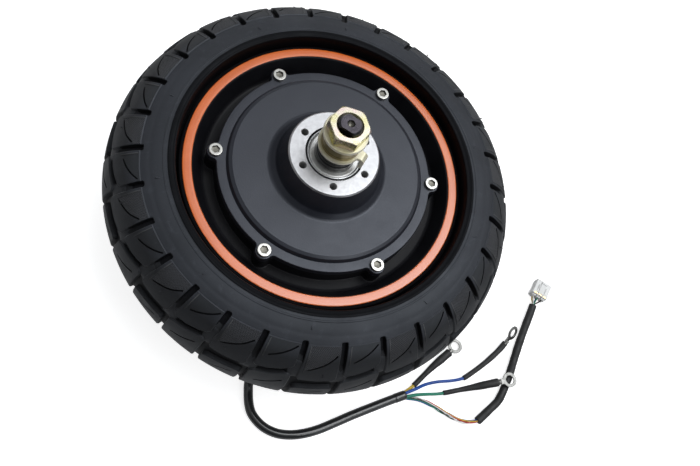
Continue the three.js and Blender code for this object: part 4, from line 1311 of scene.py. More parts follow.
def bearings():
    for name, side in SIDES:
        bearing(name, side)
    lathe("bearing_dust_shield", raised(SHIELD_PROFILE, BEARING_HEIGHTS["brake"]), SHIELD,
          WHEEL, "shield_steel", "bearing_shield_brake", rounds=0.1)


# ---------------------------------------------------------------- axle hardware
THREAD_PITCH = 1.5
AXLE_TOP = MID + 92.9


def cross_drill(start, end, z, radius, sides=32):
    """Cutter for a hole from radius start to radius end, in the cable's exit direction."""
    cutter = Shape()
    cutter.tube(straight(polar(start, EXIT, z), polar(end, EXIT, z)), radius, sides,
                round_end=0.02)
    return cutter


def axle_thread(z, angle):
    phase = (z / THREAD_PITCH - angle / 360.0) % 1.0
    return 7.0 - 0.55 * (1 - min(1.0, abs(phase - 0.5) * 2.6)) if 0.12 < phase < 0.88 else 7.0


def axle():
    """Threaded ends with a pair of flats, bearing seats, a thick middle and cable holes."""
    part = Shape()
    half = degrees(acos(5.0 / 7.0))      # half the angle a flat takes up
    around = []
    for centre in (FLAT, FLAT + 180):
        around += [centre - half + 2 * half * k / 14 for k in range(14)]
        around += [centre + half + (180 - 2 * half) * k / 16 for k in range(16)]

    def ring(z, radius, flats):
        points = []
        for angle in around:
            reach = radius(z, angle) if callable(radius) else radius
            x, y = reach * cosd(angle - FLAT), reach * sind(angle - FLAT)
            if flats:
                x = max(-5.0, min(5.0, x))
            points.append((x * cosd(FLAT) - y * sind(FLAT), x * sind(FLAT) + y * cosd(FLAT), z))
        return part.ring(points)

    def threaded(z, end):
        rings = []
        while z < end:
            rings.append(ring(z, axle_thread, True))
            z += THREAD_PITCH / 8
        return rings

    rings = [ring(0.0, 6.0, True), ring(0.35, 6.35, True), ring(1.0, 6.9, True)]
    rings += threaded(1.15, 15.9)
    rings.append(ring(16.02, 6.6, True))
    # height, radius of the round part
    rings += [ring(z, radius, False) for z, radius in (
        (16.06, 6.6), (16.2, 7.3), (16.4, 7.5), (40.0, 7.5), (40.02, 9.2), (40.3, 9.5),
        (118.78, 9.5), (119.08, 9.2), (119.1, 7.5), (141.8, 7.5), (142.05, 7.3), (142.12, 6.6))]
    rings.append(ring(142.16, 6.6, True))
    rings += threaded(142.3, AXLE_TOP - 1.15)
    rings += [ring(AXLE_TOP - 1.0, 6.9, True), ring(AXLE_TOP - 0.3, 6.3, True),
              ring(AXLE_TOP, 6.0, True)]
    part.loft(rings)
    part.face(rings[0][::-1])
    # centre hole in the top end
    centre_hole = [ring(AXLE_TOP, 2.35, False), ring(AXLE_TOP - 0.35, 2.05, False),
                   ring(AXLE_TOP - 1.2, 2.0, False)]
    part.flat([rings[-1], centre_hole[0][::-1]])
    part.loft(centre_hole)
    part.peak(centre_hole[-1], (0, 0, AXLE_TOP - 3.4))

    mesh = part.mesh("axle_turned")
    for height, radius in ((-52.5, 3.7), (-30.5, 3.2)):
        mesh = boolean(mesh, cross_drill(0, 12, MID + height, radius))
    bore = Shape()
    bore.plate(circle(4.0, 32), [], MID - 56, MID - 28, 0.2)
    mesh = boolean(mesh, bore)

    def slot(radius, z):
        if radius < 2.2 and AXLE_TOP - 3.5 < z < AXLE_TOP - 0.2:
            return 2
        return 1 if z > AXLE_TOP - 0.25 or z < 0.05 else 0
    by_place(mesh, slot)
    piece("axle_turned", mesh, [BLACK_OXIDE, AXLE_END, SOCKET], AXLE, "axle_black_oxide",
          "axle", sharp=30, weighted=False)


def tab_washer(name, z0, z1, side):
    """Thick washer whose bore follows the flats, with one tab bent over towards the wheel.
    side is the way the tab points along Z."""
    washer = Shape()
    tab_angle, radius = -36.0, 13.7
    out, across = np.array(polar_xy(1, tab_angle)), np.array(polar_xy(1, tab_angle + 90))
    gap = degrees(asin(3.0 / radius))
    outline = [polar_xy(radius, angle) for angle in
               np.linspace(tab_angle + gap + 3.0, tab_angle + 360 - gap - 3.0, 96)]
    outline += [tuple(out * reach + across * width) for reach, width in
                ((14.3, -3.4), (14.9, -3.0), (14.9, 3.0), (14.3, 3.4))]
    half = degrees(acos(5.22 / 7.25))
    bore = [polar_xy(7.25, angle) for centre in (FLAT, FLAT + 180)
            for angle in np.linspace(centre + half, centre + 180 - half, 20)]
    washer.plate(outline, [bore[::-1]], z0, z1, 0.45)
    mesh = washer.mesh("_w")

    # section of the bend and tab: outside from the washer's rim to the tab's end, then back
    inner, outer = 0.5, 0.5 + (z1 - z0)
    near, far = (z0, z1) if side < 0 else (z1, z0)
    bend_r, bend_z = 15.0, near + side * inner
    end = far + side * 9.35

    def bend(radius, turns):
        return [(bend_r + radius * sin(turn), bend_z - side * radius * cos(turn))
                for turn in turns]
    tab_section = [(13.4, far), *bend(outer, np.linspace(0, pi / 2, 9)),
                   (bend_r + outer - 0.1, end - side * 0.5), (bend_r + outer - 0.6, end),
                   (bend_r + inner + 0.5, end), (bend_r + inner, end - side * 0.5),
                   *bend(inner, np.linspace(pi / 2, 0, 5)), (13.4, near)]
    mean_r, mean_z = (np.mean(column) for column in zip(*tab_section))
    tab = Shape()
    rings = []
    for width, shrink in ((-3.0, 0.12), (-2.85, 0.0), (2.85, 0.0), (3.0, 0.12)):
        rings.append(tab.ring([np.append(out * (r + (mean_r - r) * shrink * 0.2)
                                         + across * width, z + (mean_z - z) * shrink * 0.2)
                               for r, z in tab_section]))
    tab.loft(rings)
    for ring in (rings[0], rings[-1]):
        tab.fill(tab_section, numbered([tab_section]), ring)
    # the tab washer takes the paler zinc, partly painted light
    piece("tab_washer_plated_" + name, boolean(mesh, tab, "UNION"), [ZINC_WASHER_LIT], AXLE,
          "zinc_yellow", "tab_washer_" + name)


def hex_nut(name, z0, z1):
    """Hexagon nut with 30 degree chamfers and a threaded bore."""
    part = Shape()
    around = angles(144, -18)
    corner = 11.0 / cosd(30)
    chamfer_radius, slope = 11.75, tan(30 * DEGREE)

    def hexagon(angle):
        return min(11.0 / cosd(((angle + 18) % 60) - 30), corner - 0.12)

    def face_rim(inset):
        return lambda angle: min(chamfer_radius, hexagon(angle)) - inset

    def loop(radius, z, chamfer=0):
        """chamfer moves the corners along Z, up for 1 and down for -1."""
        return part.ring([
            polar(radius(angle) if callable(radius) else radius, angle,
                  z + chamfer * (max(0.0, hexagon(angle) - chamfer_radius) * slope))
            for angle in around])
    top = loop(8.15, z1)
    rings = [loop(7.15, z0 + 1.0), loop(8.15, z0), loop(face_rim(0.3), z0),
             loop(face_rim(0.04), z0 + 0.12), loop(hexagon, z0 + 0.12, 1),
             loop(hexagon, (z0 + z1) / 2), loop(hexagon, z1 - 0.12, -1),
             loop(face_rim(0.04), z1 - 0.12), loop(face_rim(0.3), z1), top,
             loop(7.15, z1 - 1.0)]
    part.loft(rings)
    thread_rings = [rings[-1]]
    z = z1 - 1.05
    while z > z0 + 1.15:
        thread_rings.append(loop(lambda angle: 7.12 + 0.35 * abs(
            2 * (((z / THREAD_PITCH - angle / 360.0) % 1.0) - 0.5)), z))
        z -= THREAD_PITCH / 6
    # the nut's threaded bore takes the painted-shade zinc
    part.loft([*thread_rings, rings[0]], 1)
    piece("hex_nut_" + name, part, [ZINC, ZINC_SHADED], AXLE, "zinc_yellow",
          "axle_nut_" + name, sharp=24, weighted=False)


# Turned parts: radius, height from the mid-plane
SPACER_BRAKE = [
    (7.56, 55.14), (9.7, 55.14), (10.0, 55.3), (10.0, 55.75), (11.7, 55.75), (12.0, 56.0),
    (12.0, 58.9), (11.55, 59.3), (11.55, 61.2), (11.2, 61.45), (11.2, 61.95), (11.55, 62.2),
    (11.55, 66.9), (11.3, 67.18), (7.56, 67.18)]
SPACER_CABLE = [
    (7.56, -59.0), (11.7, -59.0), (12.0, -58.7), (12.0, -47.1), (11.7, -46.9), (10.2, -46.7),
    (10.0, -46.5), (10.0, -46.04), (7.56, -46.04)]
COLLAR = [
    (7.3, 69.72), (11.9, 69.72), (12.2, 70.0), (12.2, 72.4), (11.95, 72.6), (11.95, 73.0),
    (12.2, 73.2), (12.2, 79.6), (11.9, 79.88), (7.3, 79.88)]
FLAT_WASHER = [
    (7.4, 79.92), (13.2, 79.92), (13.6, 80.2), (13.6, 81.95), (13.2, 82.28), (7.6, 82.28),
    (7.4, 82.1)]


def hardware():
    lathe("spacer_turned_brake", raised(SPACER_BRAKE, MID), BLACK_OXIDE, AXLE,
          "axle_black_oxide", "spacer_brake", rounds=0.14)
    spacer = Shape()
    spacer.revolve(fillet(raised(SPACER_CABLE, MID), 0.14, 3), angles(96))
    drilled = boolean(spacer.mesh("spacer_turned_cable"),
                      cross_drill(3, 16, MID - 52.5, 5.1, sides=40))
    piece("spacer_turned_cable", drilled, [BLACK_OXIDE], AXLE, "axle_black_oxide",
          "spacer_cable")
    tab_washer("brake", MID + 67.22, MID + 69.7, -1)
    tab_washer("cable", MID - 61.5, MID - 59.02, 1)
    # the collar takes the painted-shade zinc, dark as it sits under the nut and mirrors dark
    # parts
    lathe("spacer_collar_turned", raised(COLLAR, MID), ZINC_SHADED, AXLE, "zinc_yellow",
          "spacer_collar_brake", rounds=0.15)
    # the flat washer takes the paler zinc, partly painted light
    lathe("flat_washer_plated", raised(FLAT_WASHER, MID), ZINC_WASHER_LIT, AXLE, "zinc_yellow",
          "flat_washer_brake", rounds=0.2)
    hex_nut("brake", MID + 82.3, MID + 90.9)
    hex_nut("cable", MID - 72.5, MID - 61.5)


def valve():
    """Threaded stem and knurled cap; heights are shares of the valve's length."""
    start = Vector(polar(73.6, VALVE_ANGLE, MID - 34))
    end = Vector(polar(79.7, VALVE_ANGLE, MID - 7))
    place = along(start, end)
    length = (end - start).length
    profile = [(0, 0.11 * length), (1.9, 0.11 * length), (2.55, 0.115 * length)]
    z = 0.12 * length
    while z < 0.34 * length:
        profile += [(2.6, z), (2.35, z + 0.2)]
        z += 0.4
    profile.append((2.6, 0.36 * length))
    brass_end = len(profile) - 1
    profile += [(radius, share * length) for radius, share in (
        (3.0, 0.37), (3.2, 0.42), (3.2, 0.74), (3.4, 0.78), (3.8, 0.80), (3.8, 0.90),
        (3.5, 0.96), (0, 0.98))]
    stem = Shape()
    stem.revolve(profile, angles(32), closed=False, slot=lambda k: 0 if k < brass_end else 1)
    piece("valve_stem_moulded", stem.moved(place), [BRASS, VALVE], WHEEL, "valve_metal",
          "valve_stem", weighted=False)
    cap = Shape()
    # share of the length, radius, depth of the knurl
    rings = [cap.ring([polar(radius - (knurl if i % 2 else 0), angle, share * length)
                       for i, angle in enumerate(angles(48))])
             for share, radius, knurl in (
                 (0.108, 2.75, 0), (0.108, 3.45, 0), (0.10, 3.6, 0.16), (-0.055, 3.6, 0.16),
                 (-0.075, 3.4, 0), (-0.095, 2.9, 0), (-0.1, 2.2, 0))]
    cap.loft(rings)
    cap.face(rings[-1])
    cap.face(rings[0][::-1])
    piece("valve_cap_knurled", cap.moved(place), [SLEEVE], WHEEL, "valve_metal", "valve_cap",
          sharp=25, weighted=False)


# ---------------------------------------------------------------- cable and leads
EXIT_HEIGHT = 22.5
# The cable out of the axle: radius, height; then over the floor: x, y, z
CABLE_EXIT = [(2.6, EXIT_HEIGHT), (9, EXIT_HEIGHT), (18, 22.3), (34, 20.6), (60, 15.5),
              (90, 8.6), (110, 4.9)]
CABLE_RUN = [
    (-43.6, -114.1, 4.3), (-44.1, -119.3, 3.5), (-44.4, -126.1, 3.4), (-43.4, -132.9, 3.4),
    (-40.1, -138.9, 3.4), (-34.8, -144.4, 3.4), (-27, -148.7, 3.4), (-18.2, -150.6, 3.4),
    (-9.1, -150.7, 3.4), (1.7, -149.1, 3.4), (14.3, -145.6, 3.4), (27.1, -141.8, 3.4),
    (41, -138.1, 3.4), (55, -134.5, 3.4), (67.9, -131.4, 3.4)]


def cable():
    curve = catmull([*(polar(radius, EXIT, z) for radius, z in CABLE_EXIT), *CABLE_RUN], 190)
    jacket = Shape()
    jacket.tube(curve, 3.25, sides=28, round_end=0.35)
    soft_piece("cable_outer_jacket", jacket, PVC, "cable_pvc", "cable_jacket")

    end = curve[-7:]
    tangent = (end[-1] - end[-2]) / norm(end[-1] - end[-2])
    end = np.vstack([end, end[-1] + tangent * 0.9])
    collar = Shape()
    collar.tube(end, lambda share: 3.34 + 0.12 * sin(min(1, share * 6) * pi / 2)
                - 0.3 * max(0, share - 0.86) / 0.14, sides=28, round_end=0.3)
    soft_piece("cable_end_collar", collar, PVC, "sleeve_black")

    grommet = Shape()
    profile = [(3.45, 0), (4.7, 0), (4.7, 3.0), (5.2, 3.2), (5.2, 4.0), (4.6, 4.3), (4.4, 5.1),
               (3.9, 5.4), (3.45, 5.4)]
    grommet.revolve(fillet(profile, 0.15, 2), angles(40))
    place = along(Vector(polar(9.3, EXIT, EXIT_HEIGHT)), Vector(polar(14.9, EXIT, EXIT_HEIGHT)))
    piece("cable_exit_grommet", grommet.moved(place), [SLEEVE], AXLE, "sleeve_black",
          "cable_grommet")


# Insulated leads: points along each
LEADS = {
    "yellow": [(66.5, -130.4, 3.0), (69, -129.2, 2.9), (74.6, -126.3, 2.5),
               (77.6, -124.5, 2.4), (80.5, -122.5, 2.4)],
    "blue": [(66.8, -131.2, 4.6), (69, -130.3, 5.5), (75.9, -128.4, 5), (85.9, -125.2, 2.4),
             (95.5, -124, 1.6), (105.9, -124.1, 1.6), (113.1, -123.7, 1.8),
             (117.6, -122.9, 2.3), (121, -121.3, 2.5)],
    "green": [(66.8, -132.2, 4.4), (69, -132.7, 4.9), (76.6, -132.2, 4.3),
              (85.9, -132.3, 2.4), (94.5, -132.7, 1.8), (99.6, -132.6, 2.4),
              (104, -132.3, 2.6)],
}
# Shrink sleeves: points along each, radius at its start and at its end
SLEEVES = {
    "yellow": ([(76.5, -125.2, 2.4), (78, -124.2, 2.4), (85.9, -118.3, 2.5),
                (93.9, -112.6, 2.6), (102, -107.4, 2.8), (108.6, -103.2, 3.1)], 2.0, 3.1),
    "blue": ([(116.6, -123.2, 2.4), (118, -122.7, 2.4), (126, -118.8, 2.6),
              (134.2, -114.4, 2.8), (142.6, -109.3, 3.2), (150, -104, 4.2),
              (154.9, -99.7, 5.3)], 1.95, 2.3),
    "green": ([(98.6, -132.5, 2.5), (100, -132.5, 2.5), (110.4, -131.6, 3),
               (121.4, -130.8, 4.6), (132.1, -130, 7.2), (141.2, -129.25, 8.4)], 1.85, 3.0),
}
# Ring terminals: end of the sleeve, centre of the eye, direction its face looks
EYES = {
    "yellow": ((108.4, -103.3, 3.1), (114.3, -98.8, 2.6), (0, 0, 1)),
    "blue": ((154.6, -100.0, 5.3), (162, -93, 6.6), (0.455, -0.604, 0.65)),
    "green": ((141.2, -129.3, 8.5), (151, -128.3, 8.2), (0, 0, 1)),
}


def shrink_sleeve(color, stations, start_radius, end_radius):
    phase = np.random.default_rng(len(color)).uniform(0, 6.28)

    def radius(share):
        grow = 0.5 - 0.5 * cos(pi * min(1, max(0, (share - 0.25) / 0.6)))
        ripple = 0.05 * sin(share * 23 + phase) * (0.3 + grow)
        return start_radius + (end_radius - start_radius) * grow + ripple
    part = Shape()
    part.tube(catmull(stations), radius, sides=22, flat=lambda share: 1.0 - 0.24 * share)
    soft_piece("shrink_sleeve_" + color, part, SLEEVE, "sleeve_black", "sleeve_" + color)


def ring_terminal(color, start, centre, up):
    """An eye with a neck and a crimped barrel, built with the eye at the origin."""
    place = local(start, centre, up)
    place.translation = centre
    length = (Vector(centre) - Vector(start)).length
    eye, neck, hollow = 5.6, 2.1, 1.6     # radius, half width, radius of the fillets between
    phi = degrees(asin((neck + hollow) / (eye + hollow)))
    hollow_x = -(eye + hollow) * cosd(phi)
    upper = [(hollow_x + hollow * sin(turn), (neck + hollow) - hollow * cos(turn))
             for turn in np.linspace(radians(90 - phi), 0, 6)][1:]
    upper.append((-length + 0.6, neck))
    outline = [polar_xy(eye, angle) for angle in np.linspace(-180 + phi, 180 - phi, 56)]
    outline += upper + mirrored(upper)
    part = Shape()
    part.plate(outline, [circle(3.2, 40, clockwise=True)], -0.5, 0.5, 0.16)
    barrel = [(-length - 1.2 + 3.4 * share, 0, 0.55) for share in np.linspace(0, 1, 12)]
    part.tube(barrel, lambda share: 1.75 - 0.35 * exp(-((share - 0.5) / 0.2) ** 2),
              round_end=0.15, flat=lambda share: 0.82)
    piece("ring_terminal_" + color, part.moved(place), [TINNED], AXLE, "terminal_tinned",
          "terminal_" + color)


def leads():
    for color, stations in LEADS.items():
        part = Shape()
        part.tube(catmull(stations, 54), 1.15, sides=18, round_end=0.12)
        soft_piece("lead_insulation_" + color, part, *WIRES[color], "phase_lead_" + color)
    for color, row in SLEEVES.items():
        shrink_sleeve(color, *row)
    for color, row in EYES.items():
        ring_terminal(color, *row)


# ---------------------------------------------------------------- sensor wires and plug
HALL_RUN = [
    (66.2, -131.9, 2.6), (69, -133.2, 1.75), (77, -134.8, 1.5), (82.7, -136.8, 1.5),
    (89, -140.3, 1.5), (95.2, -145, 1.5), (101.4, -149.4, 1.5), (107.1, -152.8, 1.5),
    (113.9, -154.8, 1.5), (118.6, -155.1, 2.1), (121.3, -154.9, 2.6), (123.6, -153.8, 2.9)]
HALL_SLEEVE = [
    (121.6, -155.0, 2.9), (122.6, -154.4, 2.9), (132.8, -147.8, 2.9), (140.5, -142.6, 2.9),
    (144.8, -137.8, 2.9), (149, -131.9, 2.9), (154.6, -123.3, 2.9), (160, -113.8, 2.9),
    (166.9, -101.9, 2.9), (175, -89, 2.9), (181.6, -79, 2.9), (186.3, -71.5, 2.9)]
# Wires in the bundle: colour, angle about its centre line in radians, share of its radius
BUNDLE = [("black", 0.0, 0.9), ("green", 1.05, 1.0), ("blue", 2.1, 1.15),
          ("yellow", 3.14, 1.0), ("red", 4.2, 0.9), ("white", 5.2, 1.1)]
PLUG_PLACE = local((186.6, -71, 2.9), (198.6, -54.3, 2.9))
PLUG_BACK, PLUG_FRONT, PLUG_MIDDLE = 7.0, 20.0, 1.6    # ends along it, height of its middle
PORTS = [((i - 1) * 3.9, PLUG_MIDDLE + (j - 0.5) * 3.0) for i in range(3) for j in range(2)]
PORT_COLORS = ["yellow", "white", "blue", "green", "red", "black"]
# Boxes on the plug: x, y, z from its back, then sizes in x, y, z
PLUG_BOXES = [
    (0, 6.05, 6.6, 4.2, 0.9, 10.5),        # latch arm
    (0, 6.6, 10.6, 4.2, 0.7, 1.4),         # cross bar on the latch
    (-3.2, 6.0, 5.0, 0.7, 0.7, 7.0), (3.2, 6.0, 5.0, 0.7, 0.7, 7.0),    # ribs by the latch
    (-6.75, 1.6, 7.6, 0.5, 1.4, 9.0), (6.75, 1.6, 7.6, 0.5, 1.4, 9.0)]  # side guide ribs


def hall_wires():
    curve = catmull(HALL_RUN, 110)
    _, first, second = frames(curve)
    share = np.linspace(0, 1, len(curve))
    spread = 0.45 + 0.55 * np.sin(np.pi * share) ** 0.8
    for k, (color, phase, reach) in enumerate(BUNDLE):
        turn = phase + 5.5 * share + 0.7 * np.sin(3 * np.pi * share + k)
        path = curve + (first * (np.cos(turn) * 1.3 * reach * spread)[:, None]
                        + second * (np.sin(turn) * 0.82 * reach * spread)[:, None])
        path[:, 2] = np.maximum(path[:, 2], 0.52)      # stays above the floor
        part = Shape()
        part.tube(path, 0.46, sides=12, round_end=0.06)
        soft_piece(f"hall_wire_{k + 1}", part, *WIRES[color], "" if k else "hall_wires")


def hall_sleeve():
    part = Shape()
    part.tube(catmull(HALL_SLEEVE, 140),
              lambda share: 3.1 + 0.06 * sin(share * 31) + 0.05 * sin(share * 83),
              sides=24, round_end=0.2, flat=lambda share: 0.88)
    soft_piece("hall_sleeve_shrunk", part, SLEEVE, "sleeve_black", "hall_sleeve")


def plug_shell():
    """Built standing on its back: x across, y up, z along the plug."""
    part = Shape()
    back, front = PLUG_BACK, PLUG_FRONT
    shell = rounded_rect(13.6, 8.4, 0.9, y=PLUG_MIDDLE)
    cavity = rounded_rect(11.0, 5.9, 0.5, y=PLUG_MIDDLE)
    slim = offset(shell, -0.35)

    def rings(levels):
        return [part.ring([(x, y, z) for x, y in outline]) for outline, z in levels]
    outside = rings([(offset(shell, -0.25), back), (shell, back + 0.25), (shell, back + 3.4),
                     (slim, back + 3.7), (slim, front - 0.2), (offset(slim, -0.2), front)])
    part.loft(outside)
    inside = rings([(offset(cavity, 0.15), front), (cavity, front - 0.25),
                    (cavity, back + 4.0)])
    part.flat([outside[-1], inside[0][::-1]])
    part.loft(inside)
    part.face(inside[-1])
    part.face(outside[0][::-1])

    def box(x, y, z, width, height, length, slot=0, chamfer=0.12):
        corner = min(width, height) * 0.2
        middle = back + z
        part.plate(rounded_rect(width, height, corner, 2, x, y), [], middle - length / 2,
                   middle + length / 2, min(chamfer, corner * 0.8), slot)
    for row in PLUG_BOXES:
        box(*row)
    for x, y in PORTS:
        box(x, y, -0.55, 3.1, 2.5, 1.4, chamfer=0.2)
        box(x, y, 7.2, 1.0, 0.64, 7.0, slot=1, chamfer=0.15)      # contact pin
    for i in range(3):
        box((i - 1) * 3.9, 5.85, 0.75, 2.6, 0.5, 1.1, slot=1, chamfer=0.1)
    lay_down = Matrix(((0, 0, 1, 0), (-1, 0, 0, 0), (0, 1, 0, 0), (0, 0, 0, 1)))
    piece("hall_plug_shell", part.moved(PLUG_PLACE @ lay_down), [NYLON, GOLD], AXLE,
          "connector_nylon", "hall_connector", sharp=35)


def plug_wires():
    """Wires from the sleeve into the plug's ports."""
    for k, ((x, y), color) in enumerate(zip(PORTS, PORT_COLORS)):
        row = k % 2 - 0.5
        stations = [(-2.0, -x * 0.12, row * 0.9), (1.2, -x * 0.25, row * 1.4 + 0.1),
                    (4.0, -x * 0.75, y * 0.75 - 0.1), (7.2, -x, y)]
        part = Shape()
        part.tube(catmull([tuple(PLUG_PLACE @ Vector(spot)) for spot in stations], 14), 0.5,
                  sides=12, round_end=0.05)
        soft_piece(f"plug_wire_{k + 1}", part, *WIRES[color])


# ---------------------------------------------------------------- inside the motor
TEETH = 27


def flux_ring():
    """Chamfered steel ring with a bonding groove each side, as wide as the CAD ring."""
    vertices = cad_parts["flux_ring"].data.vertices
    drum = max(hypot(vertex.co[0], vertex.co[1]) for vertex in vertices) * 1000
    half = [(61.2, -14.6), (61.6, -15.0), (drum - 0.45, -15.0), (drum - 0.05, -14.6),
            (drum - 0.05, -8.2), (drum - 0.4, -7.9), (drum - 0.4, -7.3), (drum - 0.05, -7.0)]
    lathe("flux_ring_back_iron", raised(half + mirrored(half), MID), CORE, WHEEL,
          "core_steel", "flux_ring", count=144, rounds=0.08)


def magnets():
    part = Shape()
    for i in range(30):
        centre = 12.0 * i
        outer = [polar_xy(61.1, centre + turn) for turn in np.linspace(-5.1, 5.1, 7)]
        inner = [polar_xy(58.4, centre + turn) for turn in np.linspace(4.9, -4.9, 7)]
        part.plate(outer + inner, [], MID - 14, MID + 14, 0.3, i % 2)
    piece("magnet_segments", part, [MAGNET, MAGNET_DARK], WHEEL, "magnet_nickel",
          "magnet_ring", sharp=28)


def stator_support():
    """Hub, five spokes and a rim, with cast fillets."""
    windows = []
    for start in range(0, 360, 72):
        outer = [polar_xy(29, start + 8 + 56 * k / 8) for k in range(9)]
        inner = [polar_xy(17, start + 12 + 48 * k / 5) for k in range(5, -1, -1)]
        radii = [1.6 if k in (0, 8, 9, 14) else 0 for k in range(15)]
        windows.append(fillet(outer + inner, radii)[::-1])
    part = Shape()
    part.plate(circle(32.85, 120), [circle(9.7, 48, clockwise=True), *windows], MID - 12,
               MID + 12, 0.5)
    piece("stator_support_casting", part, [CAST], AXLE, "cast_aluminium", "stator_support",
          sharp=28)


def stator_core():
    def half(radius):
        return degrees(asin(2.4 / radius))
    # one flank of a tooth: radius, angle from its centre line
    flank = [(40, half(40) + 0.9), (40.9, half(40.9)), (54.8, half(54.8)), (55.9, 5.1),
             (57.3, 5.35), (57.5, 5.1)]
    outline = []
    for i in range(TEETH):
        centre = 360 * i / TEETH
        outline += [polar_xy(radius, centre - turn) for radius, turn in flank]
        outline.append(polar_xy(57.5, centre))
        outline += [polar_xy(radius, centre + turn) for radius, turn in flank[::-1]]
    part = Shape()
    part.plate(outline, [circle(33.1, 96, clockwise=True)], MID - 13.5, MID + 13.5, 0.12)
    piece("stator_lamination_stack", part, [LAMINATE], AXLE, "core_steel", "stator_core",
          sharp=24)


def coil(part, centre):
    """Two layers of nine turns of enamelled wire round one tooth."""
    cos_c, sin_c = cosd(centre), sind(centre)
    wire = 0.66
    for layer, (half_width, half_height) in enumerate(((3.0, 14.1), (3.75, 15.1))):
        loop = rounded_rect(2 * half_width, 2 * half_height, 1.1 + 0.4 * layer)
        normals = []
        for j in range(len(loop)):
            way = np.array(loop[(j + 1) % len(loop)]) - np.array(loop[j - 1])
            way = way / norm(way)
            normals.append((way[1], -way[0]))
        for reach in np.linspace(42.3, 53.6, 9):
            rings = []
            for q in range(6):
                turn = q * pi / 3 + pi / 6
                x, out = reach + wire * cos(turn), (wire * 0.72) * sin(turn)
                points = []
                for (y, z), (normal_y, normal_z) in zip(loop, normals):
                    y += normal_y * out
                    points.append((x * cos_c - y * sin_c, x * sin_c + y * cos_c,
                                   MID + z + normal_z * out))
                rings.append(part.ring(points))
            for q in range(6):
                part.bridge(rings[(q + 1) % 6], rings[q])


def windings():
    """Coils of each phase, and the bundled ring that joins them over the end turns."""
    for index, (phase, radius) in enumerate((("a", 42.6), ("b", 46.6), ("c", 50.6))):
        part = Shape()
        for group in range(3):
            for k in range(3):
                coil(part, (group * 9 + index * 3 + k) * 360 / TEETH)
        for shift, height in ((-0.45, 17.0), (0.45, 17.0), (-0.45, 17.85), (0.45, 17.85)):
            rings = []
            for q in range(6):
                turn = q * pi / 3
                rings.append(part.ring([
                    polar(radius + shift + 0.44 * cos(turn)
                          + 0.06 * sin(5 * angle * DEGREE + shift), angle,
                          MID + height + 0.42 * sin(turn)) for angle in angles(108)]))
            part.loft(rings, closed=True)
        piece("coil_windings_" + phase, part, [COPPER], AXLE, "winding_copper",
              "winding_phase_" + phase, sharp=60, weighted=False)


def hall_board():
    """Curved board with three sensors, solder pads and a row of wire pads."""
    part = Shape()
    sector = [polar_xy(57, angle) for angle in np.linspace(60.6, 119.4, 20)]
    sector += [polar_xy(44, angle) for angle in np.linspace(119, 61, 18)]
    holes = [circle(0.9, 12, *polar_xy(46, angle), clockwise=True) for angle in (64, 116)]
    part.plate(sector, holes, MID - 18.2, MID - 16.6, 0.1, 0)

    def chip(radius, angle, z0, z1, width, length, slot):
        cos_a, sin_a = cosd(angle), sind(angle)
        thin = min(width, length)
        outline = [((radius + x) * cos_a - y * sin_a, (radius + x) * sin_a + y * cos_a)
                   for x, y in rounded_rect(width, length, thin * 0.15, 2)]
        part.plate(outline, [], MID + z0, MID + z1, thin * 0.1, slot)
    for angle in (66.7, 93.4, 113.3):
        chip(55.9, angle, -16.7, -14.1, 1.5, 4.0, 1)
        for shift in (-1.3, 0, 1.3):
            chip(54.2, angle + shift * 1.03, -16.62, -16.35, 1.6, 0.6, 2)
    for k in range(6):
        chip(46.4, 80 + 3.4 * k, -18.75, -18.15, 1.6, 1.5, 2)
    for angle in (70, 76, 104, 110):
        chip(50, angle, -16.62, -15.9, 1.0, 1.9, 1)
    piece("hall_sensor_board", part, [BOARD, CHIP, TINNED], AXLE, "board_green", "hall_board",
          sharp=30)


# ---------------------------------------------------------------- stage, in metres
TARGET = Vector((0, 0, 0.09))
# Lamps: name, azimuth, degrees off the wheel's axis, distance, width, height, radiance, colour
LAMPS = [
    ("side", 300, 62, 1.6, 0.5, 1.0, 0.8, (0.9, 0.96, 1.0)),
    ("back", 78, 66, 1.9, 1.4, 0.5, 0.9, (0.96, 0.98, 1.0)),
    ("strip", 304, 37, 1.7, 0.5, 0.13, 11.0, (1, 1, 1))]


def direction(azimuth, tilt):
    """Unit vector tilted from the vertical towards an azimuth."""
    return Vector((sind(tilt) * cosd(azimuth), sind(tilt) * sind(azimuth), cosd(tilt)))


def floor():
    mesh = bpy.data.meshes.new("floor")
    half = 6.0
    mesh.from_pydata([(-half, -half, 0), (half, -half, 0), (half, half, 0), (-half, half, 0)],
                     [], [(0, 1, 2, 3)])
    obj = bpy.data.objects.new("floor", mesh)
    surf = Surface("floor_pale")
    look = surf.mix(surf.remap(surf.noise(scale=3), (0.3, 0.7)), (0.82, 0.82, 0.82),
                    (0.84, 0.84, 0.84))
    # white to the camera, less bright as a source of bounced light
    seen = surf.add("LightPath").outputs["Is Camera Ray"]
    look = surf.mix(seen, (0.52, 0.52, 0.53), look)
    normal = surf.bump(surf.noise(scale=400, detail=2), depth=0.00005, strength=0.2)
    mesh.materials.append(surf.done(
        look, rough=0.9, normal=normal, Specular_IOR_Level=0.2, Emission_Color=(1, 1, 1, 1),
        Emission_Strength=surf.remap(seen, (0, 1), to=(0.25, 0.76))))
    bpy.context.scene.collection.objects.link(obj)


def lamp(name, azimuth, tilt, distance, width, height, radiance, color):
    light = bpy.data.lights.new(name, "AREA")
    light.shape = "RECTANGLE"
    light.size, light.size_y = width, height
    light.energy = radiance * pi * width * height
    light.color = color
    obj = bpy.data.objects.new(name, light)
    place = TARGET + direction(azimuth, tilt) * distance
    obj.location = place
    obj.rotation_euler = (TARGET - place).to_track_quat("-Z", "Y").to_euler()
    bpy.context.scene.collection.objects.link(obj)


